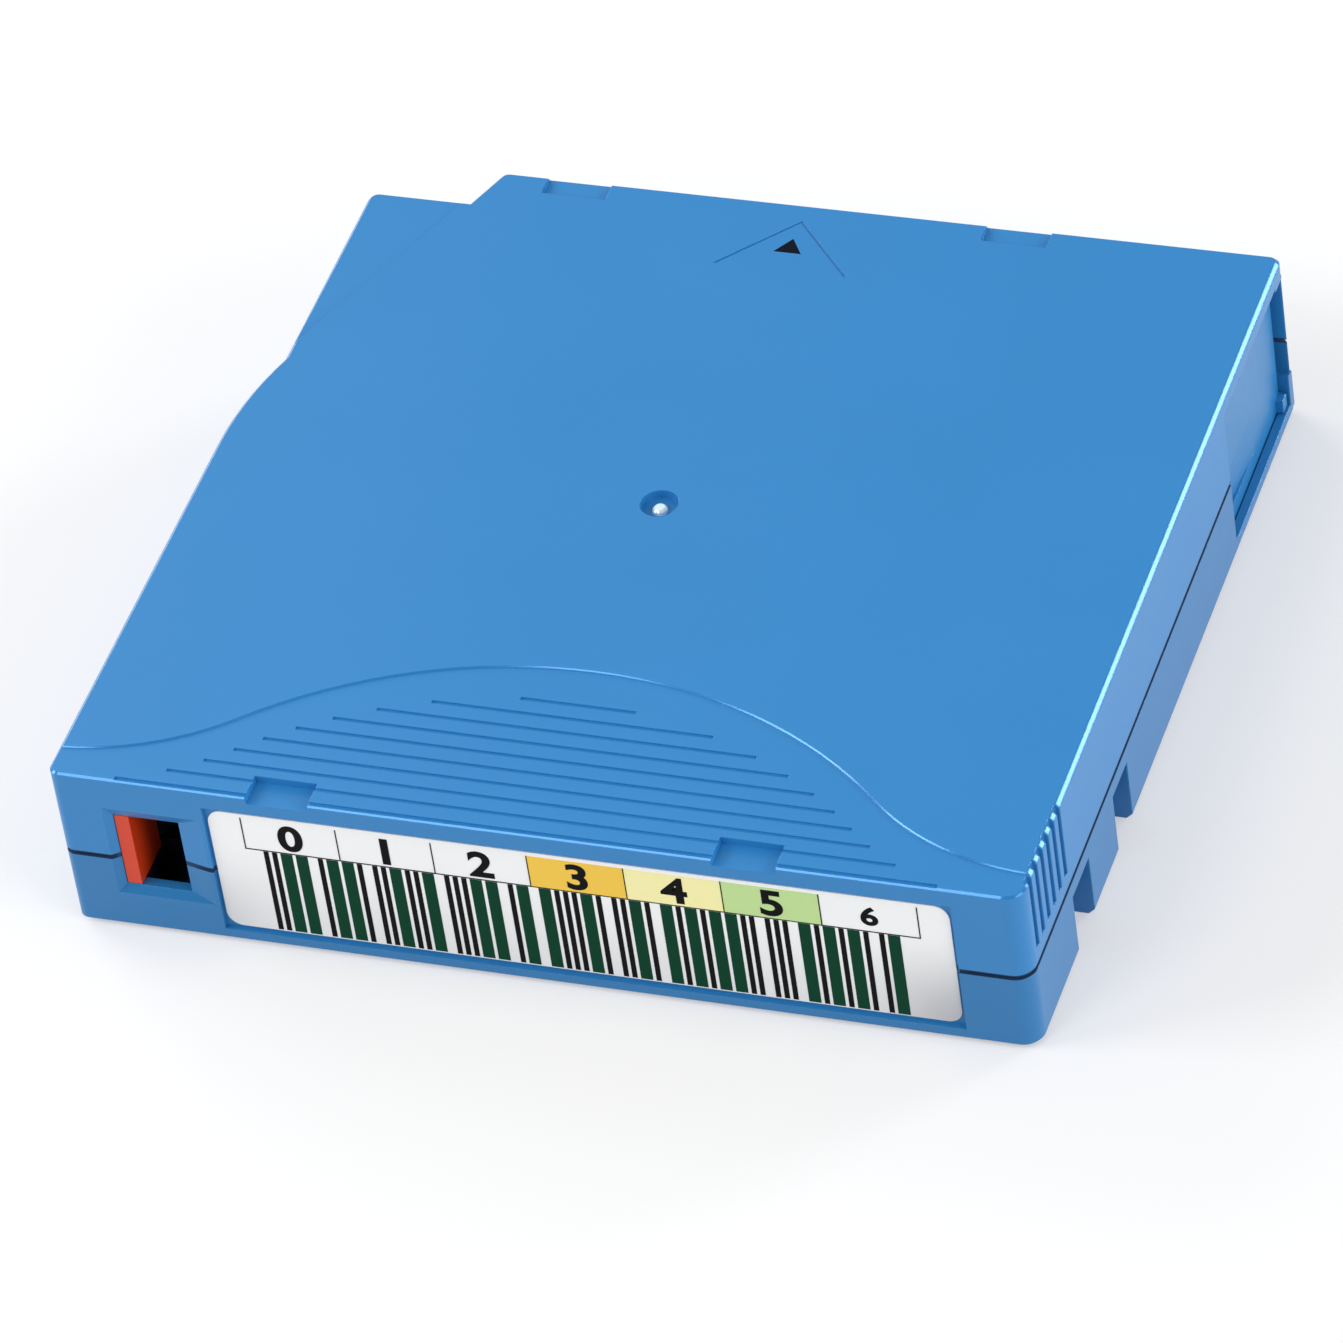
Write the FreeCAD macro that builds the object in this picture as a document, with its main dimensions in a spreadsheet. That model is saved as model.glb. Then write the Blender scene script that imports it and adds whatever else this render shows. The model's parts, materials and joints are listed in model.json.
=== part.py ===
import FreeCAD, Part
import math
import os
import re

import Sketcher

# A half-inch, single-reel data tape cartridge, in millimetres.
# The origin is the middle of the underside. +Z is up, +Y is the end that enters the drive,
# -Y is the label end and +X is the side with the sliding door.
# The two shells meet at the parting plane. Between them one reel turns on a drive's spindle,
# a toothed brake holds it when it is idle, and a door hides the pin at the end of the tape.

SIZES = [
    ("case_width", 105.4, "across the label end"),
    ("case_length", 102.0, "label end to drive end"),
    ("case_height", 21.5, "both shells closed"),
    ("parting_height", 10.3, "where the shells meet"),
    ("wall", 1.8, "side walls"),
    ("floor_thickness", 1.8, "bottom plate"),
    ("roof_thickness", 2.0, "top plate"),
    ("front_left_round", 1.2, "upright corner on the window side"),
    ("front_right_round", 2.2, "upright corner on the grip side"),
    ("corner_round", 1.2, "upright corners of the drive end"),
    ("rim_slope", 0.45, "edge of the top plate"),
    ("foot_chamfer", 0.7, "edge of the bottom plate"),
    ("reveal_depth", 0.4, "shadow line between the shells, inwards"),
    ("reveal_height", 0.5, "shadow line between the shells, upwards"),
    ("waist_inset", 2.6, "how far the left side draws in"),
    ("waist_start", 52.8, "label end to the start of the curve"),
    ("waist_end", 67.6, "label end to the end of the curve"),
    ("step_depth", 5.7, "how far the left rear corner steps back"),
    ("step_outer", 16.4, "left side to the step, at the drive end"),
    ("step_inner", 14.2, "left side to the step, at its foot"),
    ("ridge_start", 69.5, "label end to the ridge across the rear left corner"),
    ("ridge_side", 13.5, "left side to the rear end of that ridge"),
    ("ridge_step", 0.04, "drop behind the ridge where it is highest"),
    ("ridge_crest", 18.0, "near end of the ridge to where it is highest"),
    ("dish_radius", 540.0, "hollow of the corner behind the ridge"),
    ("grip_pitch", 2.14, "between the thumb grooves"),
    ("grip_count", 10, "thumb grooves"),
    ("grip_first", 19.7, "label end to the furthest thumb groove"),
    ("grip_groove", 0.45, "width of a thumb groove"),
    ("grip_depth", 0.2, "depth of a thumb groove"),
    ("grip_shift", 4.6, "thumb groove ends follow the bell this far inside it"),
    ("grip_inset", 0.8, "and this much shorter"),
    ("bell_x", -0.75, "middle of the thumb area"),
    ("bell_reach", 24.8, "label end to the crest of the bell"),
    ("bell_crest", 51.0, "radius of the crest"),
    ("bell_foot", 3.7, "label end to the feet of the bell"),
    ("bell_flare", 28.6, "radius of the feet"),
    ("bell_recess", 0.2, "the thumb area lies this much lower"),
    ("bell_slope", 0.15, "slope down into the thumb area"),
    ("chevron_reach", 2.9, "drive end to the point of the chevron"),
    ("chevron_half", 7.65, "half the chevron's width"),
    ("chevron_fall", 8.45, "length of the chevron"),
    ("chevron_line", 0.35, "width of its line"),
    ("chevron_depth", 0.12, "depth of its line"),
    ("pocket_offset", 25.3, "reel axis to a finger pocket"),
    ("pocket_width", 6.9, "finger pockets in the label end"),
    ("pocket_length", 3.4, "finger pockets, inwards"),
    ("pocket_drop", 1.1, "finger pockets, downwards"),
    ("nick_width", 7.5, "nicks in the drive end"),
    ("nick_length", 2.9, "nicks in the drive end, inwards"),
    ("nick_drop", 0.6, "nicks in the drive end, downwards"),
    ("flute_first", 3.1, "label end to the first side flute"),
    ("flute_pitch", 2.08, "between side flutes"),
    ("flute_count", 6, "side flutes"),
    ("flute_width", 1.0, "width of a side flute"),
    ("flute_depth", 0.55, "depth of a side flute"),
    ("flute_foot", 12.0, "height where the side flutes start"),
    ("dimple_radius", 2.1, "moulding gate dimple"),
    ("dimple_depth", 1.0, "moulding gate dimple"),
    ("gate_radius", 0.8, "moulding gate nub"),
    ("gate_height", 0.5, "moulding gate nub"),
    ("gate_slope", 0.25, "edge of the moulding gate nub"),
    ("notch_first", 14.6, "label end to the first picker notch"),
    ("notch_second", 29.8, "label end to the second picker notch"),
    ("notch_first_length", 6.0, "first picker notch"),
    ("notch_second_length", 5.4, "second picker notch"),
    ("notch_depth", 3.0, "picker notches, inwards"),
    ("notch_height", 8.0, "picker notches, upwards"),
    ("rib", 1.0, "inner ribs"),
    ("label_bay_x", 4.55, "middle of the label bay"),
    ("label_bay_width", 80.9, "label bay"),
    ("label_bay_bottom", 1.8, "height of the bay's lower edge"),
    ("label_bay_brow", 2.5, "top face to the bay's upper edge"),
    ("label_bay_depth", 0.5, "label bay"),
    ("label_side_margin", 0.35, "between the label and its bay, at the ends"),
    ("label_edge_margin", 0.5, "between the label and its bay, above and below"),
    ("label_round", 1.7, "corners of the label"),
    ("label_thickness", 0.15, "paper and glue"),
    ("window_from_side", 6.25, "left side to the switch window"),
    ("window_width", 7.3, "switch window"),
    ("window_bottom", 6.0, "height of the window's lower edge"),
    ("window_brow", 5.7, "top face to the window's upper edge"),
    ("bevel_left", 0.85, "slope round the window, left"),
    ("bevel_right", 2.75, "slope round the window, right"),
    ("bevel_bottom", 0.9, "slope round the window, below"),
    ("bevel_top", 1.3, "slope round the window, above"),
    ("bevel_depth", 0.6, "slope round the window, inwards"),
    ("tab_nib", 1.6, "thickness of the switch's nib"),
    ("tab_plate", 1.2, "thickness of the switch's plate"),
    ("tab_depth", 4.5, "the switch, inwards"),
    ("tab_nib_reach", 1.4, "how far the nib stands into the window"),
    ("tab_runner", 1.0, "runners of the switch"),
    ("tab_gap", 0.2, "clearance round the switch"),
    ("tab_rib_pitch", 5.0, "between the ribs under the switch"),
    ("boss_radius", 3.2, "screw bosses"),
    ("boss_side", 6.2, "side to a front boss"),
    ("boss_front", 10.0, "label end to a front boss"),
    ("boss_back_x", 33.5, "middle to a rear boss"),
    ("boss_back", 5.4, "drive end to a rear boss"),
    ("screw_head_radius", 2.1, "case screw"),
    ("screw_head_height", 1.4, "case screw"),
    ("screw_radius", 1.0, "case screw"),
    ("screw_length", 11.0, "case screw under the head"),
    ("screw_drive", 0.75, "half the width of the driver's socket"),
    ("screw_sink", 4.0, "underside to the seat of a screw head"),
    ("screw_gap", 0.2, "round a head and a shank"),
    ("thread_gap", 0.05, "round a shank in its thread"),
    ("datum_x", 34.0, "middle to a locating hole"),
    ("datum_front", 5.7, "label end to a locating hole"),
    ("datum_radius", 2.25, "locating holes"),
    ("datum_depth", 4.0, "locating holes"),
    ("datum_slot", 2.0, "how much longer the slotted one is"),
    ("datum_wall", 1.2, "round a locating hole"),
    ("reel_x", -2.0, "reel axis"),
    ("reel_y", 0.4, "reel axis"),
    ("seat_ring_height", 0.8, "ring round the spindle opening"),
    ("seat_ring_width", 2.4, "ring round the spindle opening"),
    ("seat_gap", 0.3, "between a part at rest and its seat"),
    ("spindle_opening", 18.0, "radius of the opening for the drive"),
    ("flange_side_margin", 4.9, "half the case's width less the reel flanges"),
    ("flange_end_margin", 3.2, "half the case's length less the reel flanges, at least"),
    ("flange_thickness", 1.0, "lower flange"),
    ("cover_thickness", 0.9, "upper flange"),
    ("hub_radius", 22.0, "where the tape is wound on"),
    ("hub_wall", 2.5, "wall of the hub"),
    ("hub_floor", 1.5, "web of the hub"),
    ("reel_headroom", 1.75, "upper flange to the top plate, which leaves 12.65 for half-inch tape"),
    ("tape_gap", 0.15, "between the tape and a flange"),
    ("pack_margin", 1.8, "rim of a flange to the last turn of a full reel"),
    ("pack_gap", 0.05, "between the first turn and the hub"),
    ("spigot", 1.0, "rim of the upper flange inside the hub"),
    ("gear_inner", 13.6, "drive teeth"),
    ("gear_outer", 17.2, "drive teeth"),
    ("gear_height", 2.2, "drive ring below the flange"),
    ("gear_tooth", 1.2, "depth of a drive tooth"),
    ("gear_count", 24, "drive teeth"),
    ("groove_share", 0.6, "of a tooth's pitch that its groove takes"),
    ("disc_bore", 3.0, "steel disc"),
    ("disc_gap", 0.3, "between the steel disc and the drive ring"),
    ("disc_thickness", 1.1, "steel disc"),
    ("disc_hole", 1.2, "rivet holes of the steel disc"),
    ("disc_hole_circle", 8.0, "radius of the ring of rivet holes"),
    ("brake_inner", 10.5, "brake teeth"),
    ("brake_outer", 13.0, "brake teeth"),
    ("brake_ring", 1.8, "height of the hub's brake ring"),
    ("brake_tooth", 0.9, "depth of a brake tooth"),
    ("brake_disc", 13.4, "radius of the brake button"),
    ("brake_thickness", 1.4, "brake button"),
    ("brake_travel", 1.5, "how far a drive lifts it"),
    ("socket_radius", 5.4, "collar of the brake button"),
    ("socket_headroom", 2.2, "collar of the lifted brake button to the top plate"),
    ("post_span", 7.0, "cross post under the roof"),
    ("post_web", 2.0, "cross post under the roof"),
    ("post_gap", 0.15, "between post and socket"),
    ("spider_thickness", 1.2, "release spider"),
    ("spider_core", 5.5, "release spider"),
    ("spider_arm", 5.0, "width of an arm"),
    ("foot_inner", 14.4, "feet of the spider"),
    ("foot_outer", 16.4, "feet of the spider"),
    ("foot_width", 4.0, "feet of the spider"),
    ("foot_gap", 0.2, "round a foot"),
    ("pip_radius", 2.5, "where the brake button rests on the spider"),
    ("brake_spring_radius", 7.6, "middle of the wire"),
    ("brake_spring_wire", 0.45, "radius of the wire"),
    ("brake_spring_turns", 4.0, "free turns"),
    ("door_inset", 1.2, "face of the door behind the side"),
    ("door_thickness", 1.3, "sliding door"),
    ("door_length", 27.0, "sliding door"),
    ("door_travel", 20.0, "how far it opens"),
    ("door_end_gap", 2.0, "drive end to the shut door"),
    ("door_way", 24.5, "length of the door opening"),
    ("door_wall", 0.9, "side wall where the door runs behind it"),
    ("door_groove", 0.6, "runners of the door"),
    ("door_gap", 0.15, "beside the door in its runners"),
    ("door_top_gap", 0.2, "above and below the door"),
    ("door_catch", 1.5, "length of the catch that a drive pushes"),
    ("door_catch_height", 1.7, "height of the catch"),
    ("door_scoop", 12.5, "length of the scoop in the door"),
    ("door_scoop_depth", 0.7, "scoop in the door"),
    ("door_scoop_top", 8.7, "height of the scoop in the door"),
    ("end_strip", 0.8, "lip of the drive end beyond the door"),
    ("guide_block_top", 5.6, "height of the block at the foot of the door"),
    ("bracket_length", 3.3, "lip at the head of the door"),
    ("bracket_drop", 0.5, "lip at the head of the door"),
    ("lug_length", 1.5, "lug that the door spring pushes"),
    ("lug_height", 4.5, "lug that the door spring pushes"),
    ("door_spring_height", 13.0, "height of the door spring"),
    ("door_spring_radius", 1.25, "middle of the wire"),
    ("door_spring_wire", 0.25, "radius of the wire"),
    ("door_spring_length", 34.0, "with the door shut"),
    ("door_spring_turns", 10.0, "free turns"),
    ("coil_runs", 8, "straight runs that make one turn of a spring"),
    ("coil_gap", 0.05, "between the ends of a spring and its seats"),
    ("pin_gap", 0.4, "between the pin and the door"),
    ("pin_flange", 2.3, "radius of the pin's ends"),
    ("pin_flange_height", 1.2, "pin's ends"),
    ("pin_neck", 1.2, "radius of the pin"),
    ("pin_from_end", 10.0, "drive end to the pin"),
    ("pin_end_gap", 0.2, "above and below the pin"),
    ("cradle_gap", 0.3, "round the pin's ends"),
    ("cradle_wall", 1.1, "cradles of the pin"),
    ("cradle_height", 1.5, "cradles of the pin"),
    ("cradle_slit", 1.2, "half the slit of a cradle, for the pin spring"),
    ("clip_outer", 2.2, "clip on the pin"),
    ("clip_gap", 0.1, "between clip and pin"),
    ("clip_margin", 0.35, "edge of the tape to the end of the clip"),
    ("clip_slot", 0.9, "where the tape leaves the clip"),
    ("leader_thickness", 0.2, "end of the tape, drawn thicker than it is"),
    ("leader_wrap", 24.0, "degrees that it lies on the pack"),
    ("strip_thickness", 0.3, "pin spring"),
    ("strip_height", 2.4, "arms of the pin spring"),
    ("strip_start", 14.2, "side to the near end of the pin spring"),
    ("strip_seat", 5.0, "flat part of the pin spring"),
    ("chip_side", 9.7, "side to the middle of the memory board"),
    ("chip_end", 13.0, "drive end to the middle of the memory board"),
    ("chip_height", 6.6, "height of the middle of the memory board"),
    ("board_width", 9.0, "memory board"),
    ("board_length", 12.0, "memory board"),
    ("board_thickness", 0.8, "memory board"),
    ("chip_size", 3.0, "memory chip"),
    ("chip_thickness", 0.8, "memory chip"),
]
ALIASES = {alias for alias, _, _ in SIZES}

DOC = FreeCAD.newDocument("tape_cartridge")
SHEET = DOC.addObject("Spreadsheet::Sheet", "Sizes")
for row, (alias, number, note) in enumerate(SIZES, start=1):
    SHEET.set(f"A{row}", alias)
    SHEET.set(f"B{row}", str(number))
    SHEET.setAlias(f"B{row}", alias)
    SHEET.set(f"C{row}", note)
DOC.recompute()

# Places that several sub-parts share, as expressions of the sizes.
HALF_W = "case_width / 2"
HALF_L = "case_length / 2"
FRONT = f"-({HALF_L})"
LEFT = f"-({HALF_W})"
CEILING = "case_height - roof_thickness"
WAIST_X = f"{LEFT} + waist_inset"
STEP_Y = f"{HALF_L} - step_depth"
WAIST_RADIUS = "(waist_inset ^ 2 + (waist_end - waist_start) ^ 2) / (2 * waist_inset)"
SEAT_TOP = "floor_thickness + seat_ring_height"
FLANGE_BOTTOM = f"{SEAT_TOP} + seat_gap"
FLANGE_TOP = f"{FLANGE_BOTTOM} + flange_thickness"
TAPE_BOTTOM = f"{FLANGE_TOP} + tape_gap"
TAPE_TOP = f"{CEILING} - reel_headroom - cover_thickness - tape_gap"
COVER_BOTTOM = f"{TAPE_TOP} + tape_gap"
FLANGE_RADIUS = f"min({HALF_W} - flange_side_margin; {HALF_L} - flange_end_margin)"
PACK_RADIUS = f"({FLANGE_RADIUS} - pack_margin)"
HUB_BORE = "(hub_radius - hub_wall)"
HUB_FLOOR_TOP = f"{FLANGE_TOP} + hub_floor"
BRAKE_RING_TOP = f"{HUB_FLOOR_TOP} + brake_ring"
BRAKE_TIP = f"{BRAKE_RING_TOP} + seat_gap"
BRAKE_BOTTOM = f"{BRAKE_TIP} + brake_tooth"
BRAKE_TOP = f"{BRAKE_BOTTOM} + brake_thickness"
SOCKET_TOP = f"{CEILING} - brake_travel - socket_headroom"
SPIDER_BOTTOM = f"{HUB_FLOOR_TOP} + seat_gap"
SPIDER_TOP = f"{SPIDER_BOTTOM} + spider_thickness"
GEAR_TIP = f"{FLANGE_BOTTOM} - gear_height"
DOOR_OUT = f"{HALF_W} - door_inset"
DOOR_IN = f"{DOOR_OUT} - door_thickness"
DOOR_END = f"{HALF_L} - door_end_gap"
DOOR_TAIL = f"{DOOR_END} - door_length"
DOOR_WAY = f"{HALF_L} - door_way"
DOOR_BOTTOM = "floor_thickness - door_groove + door_top_gap"
DOOR_TOP = f"{CEILING} + door_groove - door_top_gap"
RUN_START = f"{DOOR_TAIL} - door_travel - seat_gap"
SPRING_X = f"{DOOR_IN} - door_gap - door_spring_radius - door_spring_wire"
SPRING_SEAT = f"{DOOR_TAIL} - door_spring_length"
PIN_X = f"{DOOR_IN} - pin_gap - pin_flange"
PIN_Y = f"{HALF_L} - pin_from_end"
WINDOW_X = f"{LEFT} + window_from_side"
WINDOW_TOP = "case_height - window_brow"
LABEL_BAY_TOP = "case_height - label_bay_brow"
INNER_FRONT = f"{FRONT} + wall"
TAB_FRONT = f"{INNER_FRONT} + tab_gap"
TAB_BOTTOM = "window_bottom + tab_gap / 2"
TAB_TOP = f"{WINDOW_TOP} - tab_gap / 2"
TAB_LEFT = f"{LEFT} + wall + tab_gap"
TAB_RIGHT = f"{WINDOW_X} + tab_gap / 2 + tab_nib"
CHIP_X = f"{LEFT} + chip_side"
CHIP_Y = f"{HALF_L} - chip_end"
BOSSES = [
    (f"{LEFT} + boss_side", f"{FRONT} + boss_front"),
    (f"{HALF_W} - boss_side", f"{FRONT} + boss_front"),
    ("-boss_back_x", f"{HALF_L} - boss_back"),
    ("boss_back_x", f"{HALF_L} - boss_back"),
]
NOTCHES = [("notch_first", "notch_first_length"), ("notch_second", "notch_second_length")]
OVER = "1.0"  # how far a cutter runs past the face that it opens


def full(expression):
    """The expression with each size written as a cell of the sheet."""
    return re.sub(r"[a-z_]+", lambda m: f"Sizes.{m[0]}" if m[0] in ALIASES else m[0], expression)


def value(expression):
    return float(SHEET.evalExpression(full(expression)))


def vector(x, y, z="0"):
    return FreeCAD.Vector(value(x), value(y), value(z))


def new_body(label):
    body = DOC.addObject("PartDesign::Body", label)
    body.Label = label
    return body


def origin_of(body, role):
    return next(item for item in body.Origin.OriginFeatures if item.Role == role)


def new_sketch(body, name, level="0", plane="XY_Plane"):
    """A sketch on one of the body's own origin planes, raised along that plane's normal."""
    sketch = body.newObject("Sketcher::SketchObject", name)
    sketch.AttachmentSupport = [(origin_of(body, plane), "")]
    sketch.MapMode = "FlatFace"
    sketch.setExpression("AttachmentOffset.Base.z", full(level))
    return sketch


def pin_point(sketch, edge, end, x, y):
    """Hold one end of an edge at a place worked out from the sheet."""
    for kind, place in (("DistanceX", x), ("DistanceY", y)):
        number = sketch.addConstraint(Sketcher.Constraint(kind, -1, 1, edge, end, value(place)))
        sketch.setExpression(f"Constraints[{number}]", full(place))


def draw_loop(sketch, corners, arcs=None):
    """A closed outline. arcs gives an edge's radius, and +1 if it turns left or -1 if right."""
    arcs = arcs or {}
    base = sketch.GeometryCount
    starts = []
    for number, corner in enumerate(corners):
        here = vector(*corner)
        there = vector(*corners[(number + 1) % len(corners)])
        if number in arcs:
            radius, turn = arcs[number]
            chord = there - here
            reach = value(radius)
            sagitta = reach - math.sqrt(reach ** 2 - (chord.Length / 2) ** 2)
            side = FreeCAD.Vector(chord.y, -chord.x, 0).normalize() * turn
            middle = (here + there) / 2 + side * sagitta
            arc = Part.Arc(here, middle, there) if turn > 0 else Part.Arc(there, middle, here)
            edge = sketch.addGeometry(arc)
            number = sketch.addConstraint(Sketcher.Constraint("Radius", edge, reach))
            sketch.setExpression(f"Constraints[{number}]", full(radius))
            starts.append(1 if turn > 0 else 2)
        else:
            sketch.addGeometry(Part.LineSegment(here, there))
            starts.append(1)
    for number, start in enumerate(starts):
        after = (number + 1) % len(corners)
        joint = Sketcher.Constraint("Coincident", base + number, 3 - start, base + after, starts[after])
        sketch.addConstraint(joint)
        pin_point(sketch, base + number, start, *corners[number])


def draw_box(sketch, left, right, low, high):
    draw_loop(sketch, [(left, low), (right, low), (right, high), (left, high)])


def draw_slot(sketch, left, right, y, radius):
    """A slot along X whose ends are half circles about left and right."""
    corners = [
        (right, f"{y} - {radius}"),
        (f"{right} + {radius}", y),
        (right, f"{y} + {radius}"),
        (left, f"{y} + {radius}"),
        (f"{left} - {radius}", y),
        (left, f"{y} - {radius}"),
    ]
    draw_loop(sketch, corners, {edge: (radius, 1) for edge in (0, 1, 3, 4)})


def draw_circle(sketch, x, y, radius):
    normal = FreeCAD.Vector(0, 0, 1)
    edge = sketch.addGeometry(Part.Circle(vector(x, y), normal, value(radius)))
    number = sketch.addConstraint(Sketcher.Constraint("Radius", edge, value(radius)))
    sketch.setExpression(f"Constraints[{number}]", full(radius))
    pin_point(sketch, edge, 3, x, y)


def settle(body, feature, sign):
    """Recompute, and check that the feature added (+1) or removed (-1) material."""
    before = body.Shape.Volume if body.Tip and not body.Shape.isNull() else 0.0
    DOC.recompute()
    if (feature.Shape.Volume - before) * sign <= 0:
        raise RuntimeError(f"{body.Label}: {feature.Label} changes nothing")
    return feature


def pad(body, name, sketch, length, downward=False):
    feature = body.newObject("PartDesign::Pad", f"{name}_pad")
    feature.Profile = sketch
    feature.Reversed = downward
    feature.setExpression("Length", full(length))
    return settle(body, feature, 1)


def pocket(body, name, sketch, length, forward=False):
    """Cut against the sketch's normal, or along it when forward is set."""
    feature = body.newObject("PartDesign::Pocket", f"{name}_cut")
    feature.Profile = sketch
    feature.Reversed = forward
    feature.setExpression("Length", full(length))
    return settle(body, feature, -1)


def raise_box(body, name, left, right, front, back, bottom, top):
    sketch = new_sketch(body, name, bottom)
    draw_box(sketch, left, right, front, back)
    return pad(body, name, sketch, f"({top}) - ({bottom})")


def cut_box(body, name, left, right, front, back, bottom, top):
    sketch = new_sketch(body, name, bottom)
    draw_box(sketch, left, right, front, back)
    return pocket(body, name, sketch, f"({top}) - ({bottom})", forward=True)


def raise_tube(body, name, x, y, outer, inner, bottom, top):
    sketch = new_sketch(body, name, bottom)
    draw_circle(sketch, x, y, outer)
    if inner:
        draw_circle(sketch, x, y, inner)
    return pad(body, name, sketch, f"({top}) - ({bottom})")


def cut_round(body, name, x, y, radius, bottom, top):
    sketch = new_sketch(body, name, bottom)
    draw_circle(sketch, x, y, radius)
    return pocket(body, name, sketch, f"({top}) - ({bottom})", forward=True)


def dress_edges(body, name, wanted, kind, measure, size):
    """Give a fillet or a chamfer to each edge of the body's tip that wanted accepts."""
    base = body.Tip
    edges = [f"Edge{n}" for n, edge in enumerate(base.Shape.Edges, start=1) if wanted(edge)]
    feature = body.newObject(f"PartDesign::{kind}", name)
    feature.Base = (base, edges)
    feature.setExpression(measure, full(size))
    DOC.recompute()
    return feature


def round_edges(body, name, wanted, radius):
    return dress_edges(body, f"{name}_fillet", wanted, "Fillet", "Radius", radius)


def slope_edges(body, name, wanted, size):
    return dress_edges(body, f"{name}_chamfer", wanted, "Chamfer", "Size", size)


def upright_at(x, y):
    """Accepts the upright edges that stand at x, y."""
    spot = vector(x, y)

    def wanted(edge):
        ends = [vertex.Point for vertex in edge.Vertexes]
        flat = [FreeCAD.Vector(end.x, end.y, 0) for end in ends]
        return len(ends) == 2 and all(point.distanceToPoint(spot) < 1e-4 for point in flat)

    return wanted


def level_at(z):
    """Accepts the edges that lie at height z."""
    height = value(z)
    return lambda edge: max(abs(edge.BoundBox.ZMin - height), abs(edge.BoundBox.ZMax - height)) < 1e-6


def spin_pattern(body, name, feature, count):
    pattern = body.newObject("PartDesign::PolarPattern", f"{name}_ring")
    pattern.Originals = [feature]
    pattern.Axis = (origin_of(body, "Z_Axis"), [""])
    pattern.Angle = 360
    pattern.setExpression("Occurrences", full(count))
    body.Tip = pattern
    DOC.recompute()
    return pattern


def stand_at(item, x, y, z="0"):
    """Bind an object's place to the sheet."""
    for letter, place in zip("xyz", (x, y, z)):
        item.setExpression(f"Placement.Base.{letter}", full(place))


def shaped(label, shape):
    """A piece whose form no sketch feature fits."""
    piece = DOC.addObject("Part::Feature", label)
    piece.Label = label
    piece.Shape = shape
    return piece


# ---------------------------------------------------------------- shells


UPRIGHT_ROUNDS = {
    0: "front_left_round",
    1: "front_right_round",
    2: "corner_round",
    3: "corner_round",
    5: "corner_round",
}


def case_corners(inset="0"):
    """The plan of the case, drawn in by inset."""
    rise = f"sqrt(waist_inset * (2 * ({WAIST_RADIUS} - ({inset})) - waist_inset))"
    return [
        (f"{LEFT} + {inset}", f"{FRONT} + {inset}"),
        (f"{HALF_W} - {inset}", f"{FRONT} + {inset}"),
        (f"{HALF_W} - {inset}", f"{HALF_L} - {inset}"),
        (f"{LEFT} + step_outer + {inset}", f"{HALF_L} - {inset}"),
        (f"{LEFT} + step_inner + {inset}", f"{STEP_Y} - {inset}"),
        (f"{WAIST_X} + {inset}", f"{STEP_Y} - {inset}"),
        (f"{WAIST_X} + {inset}", f"{FRONT} + waist_start + {rise}"),
        (f"{LEFT} + {inset}", f"{FRONT} + waist_start"),
    ]


def draw_case(sketch, inset="0"):
    """The outline of the case, with the long curve that leads into its waist."""
    draw_loop(sketch, case_corners(inset), {6: (f"{WAIST_RADIUS} - ({inset})", 1)})


def case_block(body, name, bottom, top, inset="0"):
    """One layer of a shell, its upright corners rounded."""
    sketch = new_sketch(body, name, bottom)
    draw_case(sketch, inset)
    pad(body, name, sketch, f"({top}) - ({bottom})")
    for number, radius in UPRIGHT_ROUNDS.items():
        corner = case_corners(inset)[number]
        round_edges(body, f"{name}_{number}", upright_at(*corner), f"{radius} - {inset}")


def hollow(body, bottom, top):
    """Leave the walls round the inside, and make room for the door to run behind one of them."""
    sketch = new_sketch(body, "inside", bottom)
    draw_case(sketch, "wall")
    pocket(body, "inside", sketch, f"({top}) - ({bottom})", forward=True)
    cut_box(body, "door_run", f"{HALF_W} - wall - {OVER}", f"{HALF_W} - door_wall",
            RUN_START, DOOR_WAY, bottom, top)


def cut_label_bay(body):
    sketch = new_sketch(body, "label_bay", HALF_L, "XZ_Plane")
    draw_box(sketch, "label_bay_x - label_bay_width / 2", "label_bay_x + label_bay_width / 2",
             "label_bay_bottom", LABEL_BAY_TOP)
    pocket(body, "label_bay", sketch, "label_bay_depth")


def cut_window(body):
    """The window of the write-protect switch, with the slope that leads a fingertip into it."""
    right = f"{WINDOW_X} + window_width"
    sketch = new_sketch(body, "window", HALF_L, "XZ_Plane")
    draw_box(sketch, WINDOW_X, right, "window_bottom", WINDOW_TOP)
    pocket(body, "window", sketch, f"wall + {OVER}")
    outer = new_sketch(body, "bevel_mouth", HALF_L, "XZ_Plane")
    draw_box(outer, f"{WINDOW_X} - bevel_left", f"{right} + bevel_right",
             "window_bottom - bevel_bottom", f"{WINDOW_TOP} + bevel_top")
    inner = new_sketch(body, "bevel_throat", f"{HALF_L} - bevel_depth", "XZ_Plane")
    draw_box(inner, WINDOW_X, right, "window_bottom", WINDOW_TOP)
    bevel = body.newObject("PartDesign::SubtractiveLoft", "bevel")
    bevel.Profile = outer
    bevel.Sections = [(inner, [""])]
    bevel.Ruled = True
    settle(body, bevel, -1)


def cut_door_way(body, bottom, top):
    """Open the side for the door, leaving a thin lip at the drive end."""
    cut_box(body, "door_way", f"{DOOR_OUT} - door_thickness", f"{HALF_W} + {OVER}",
            DOOR_WAY, f"{HALF_L} - end_strip", bottom, top)


def cut_door_groove(body, bottom, top):
    cut_box(body, "door_groove", f"{DOOR_IN} - door_gap", f"{DOOR_OUT} + door_gap",
            RUN_START, f"{DOOR_END} + door_gap", bottom, top)


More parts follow.
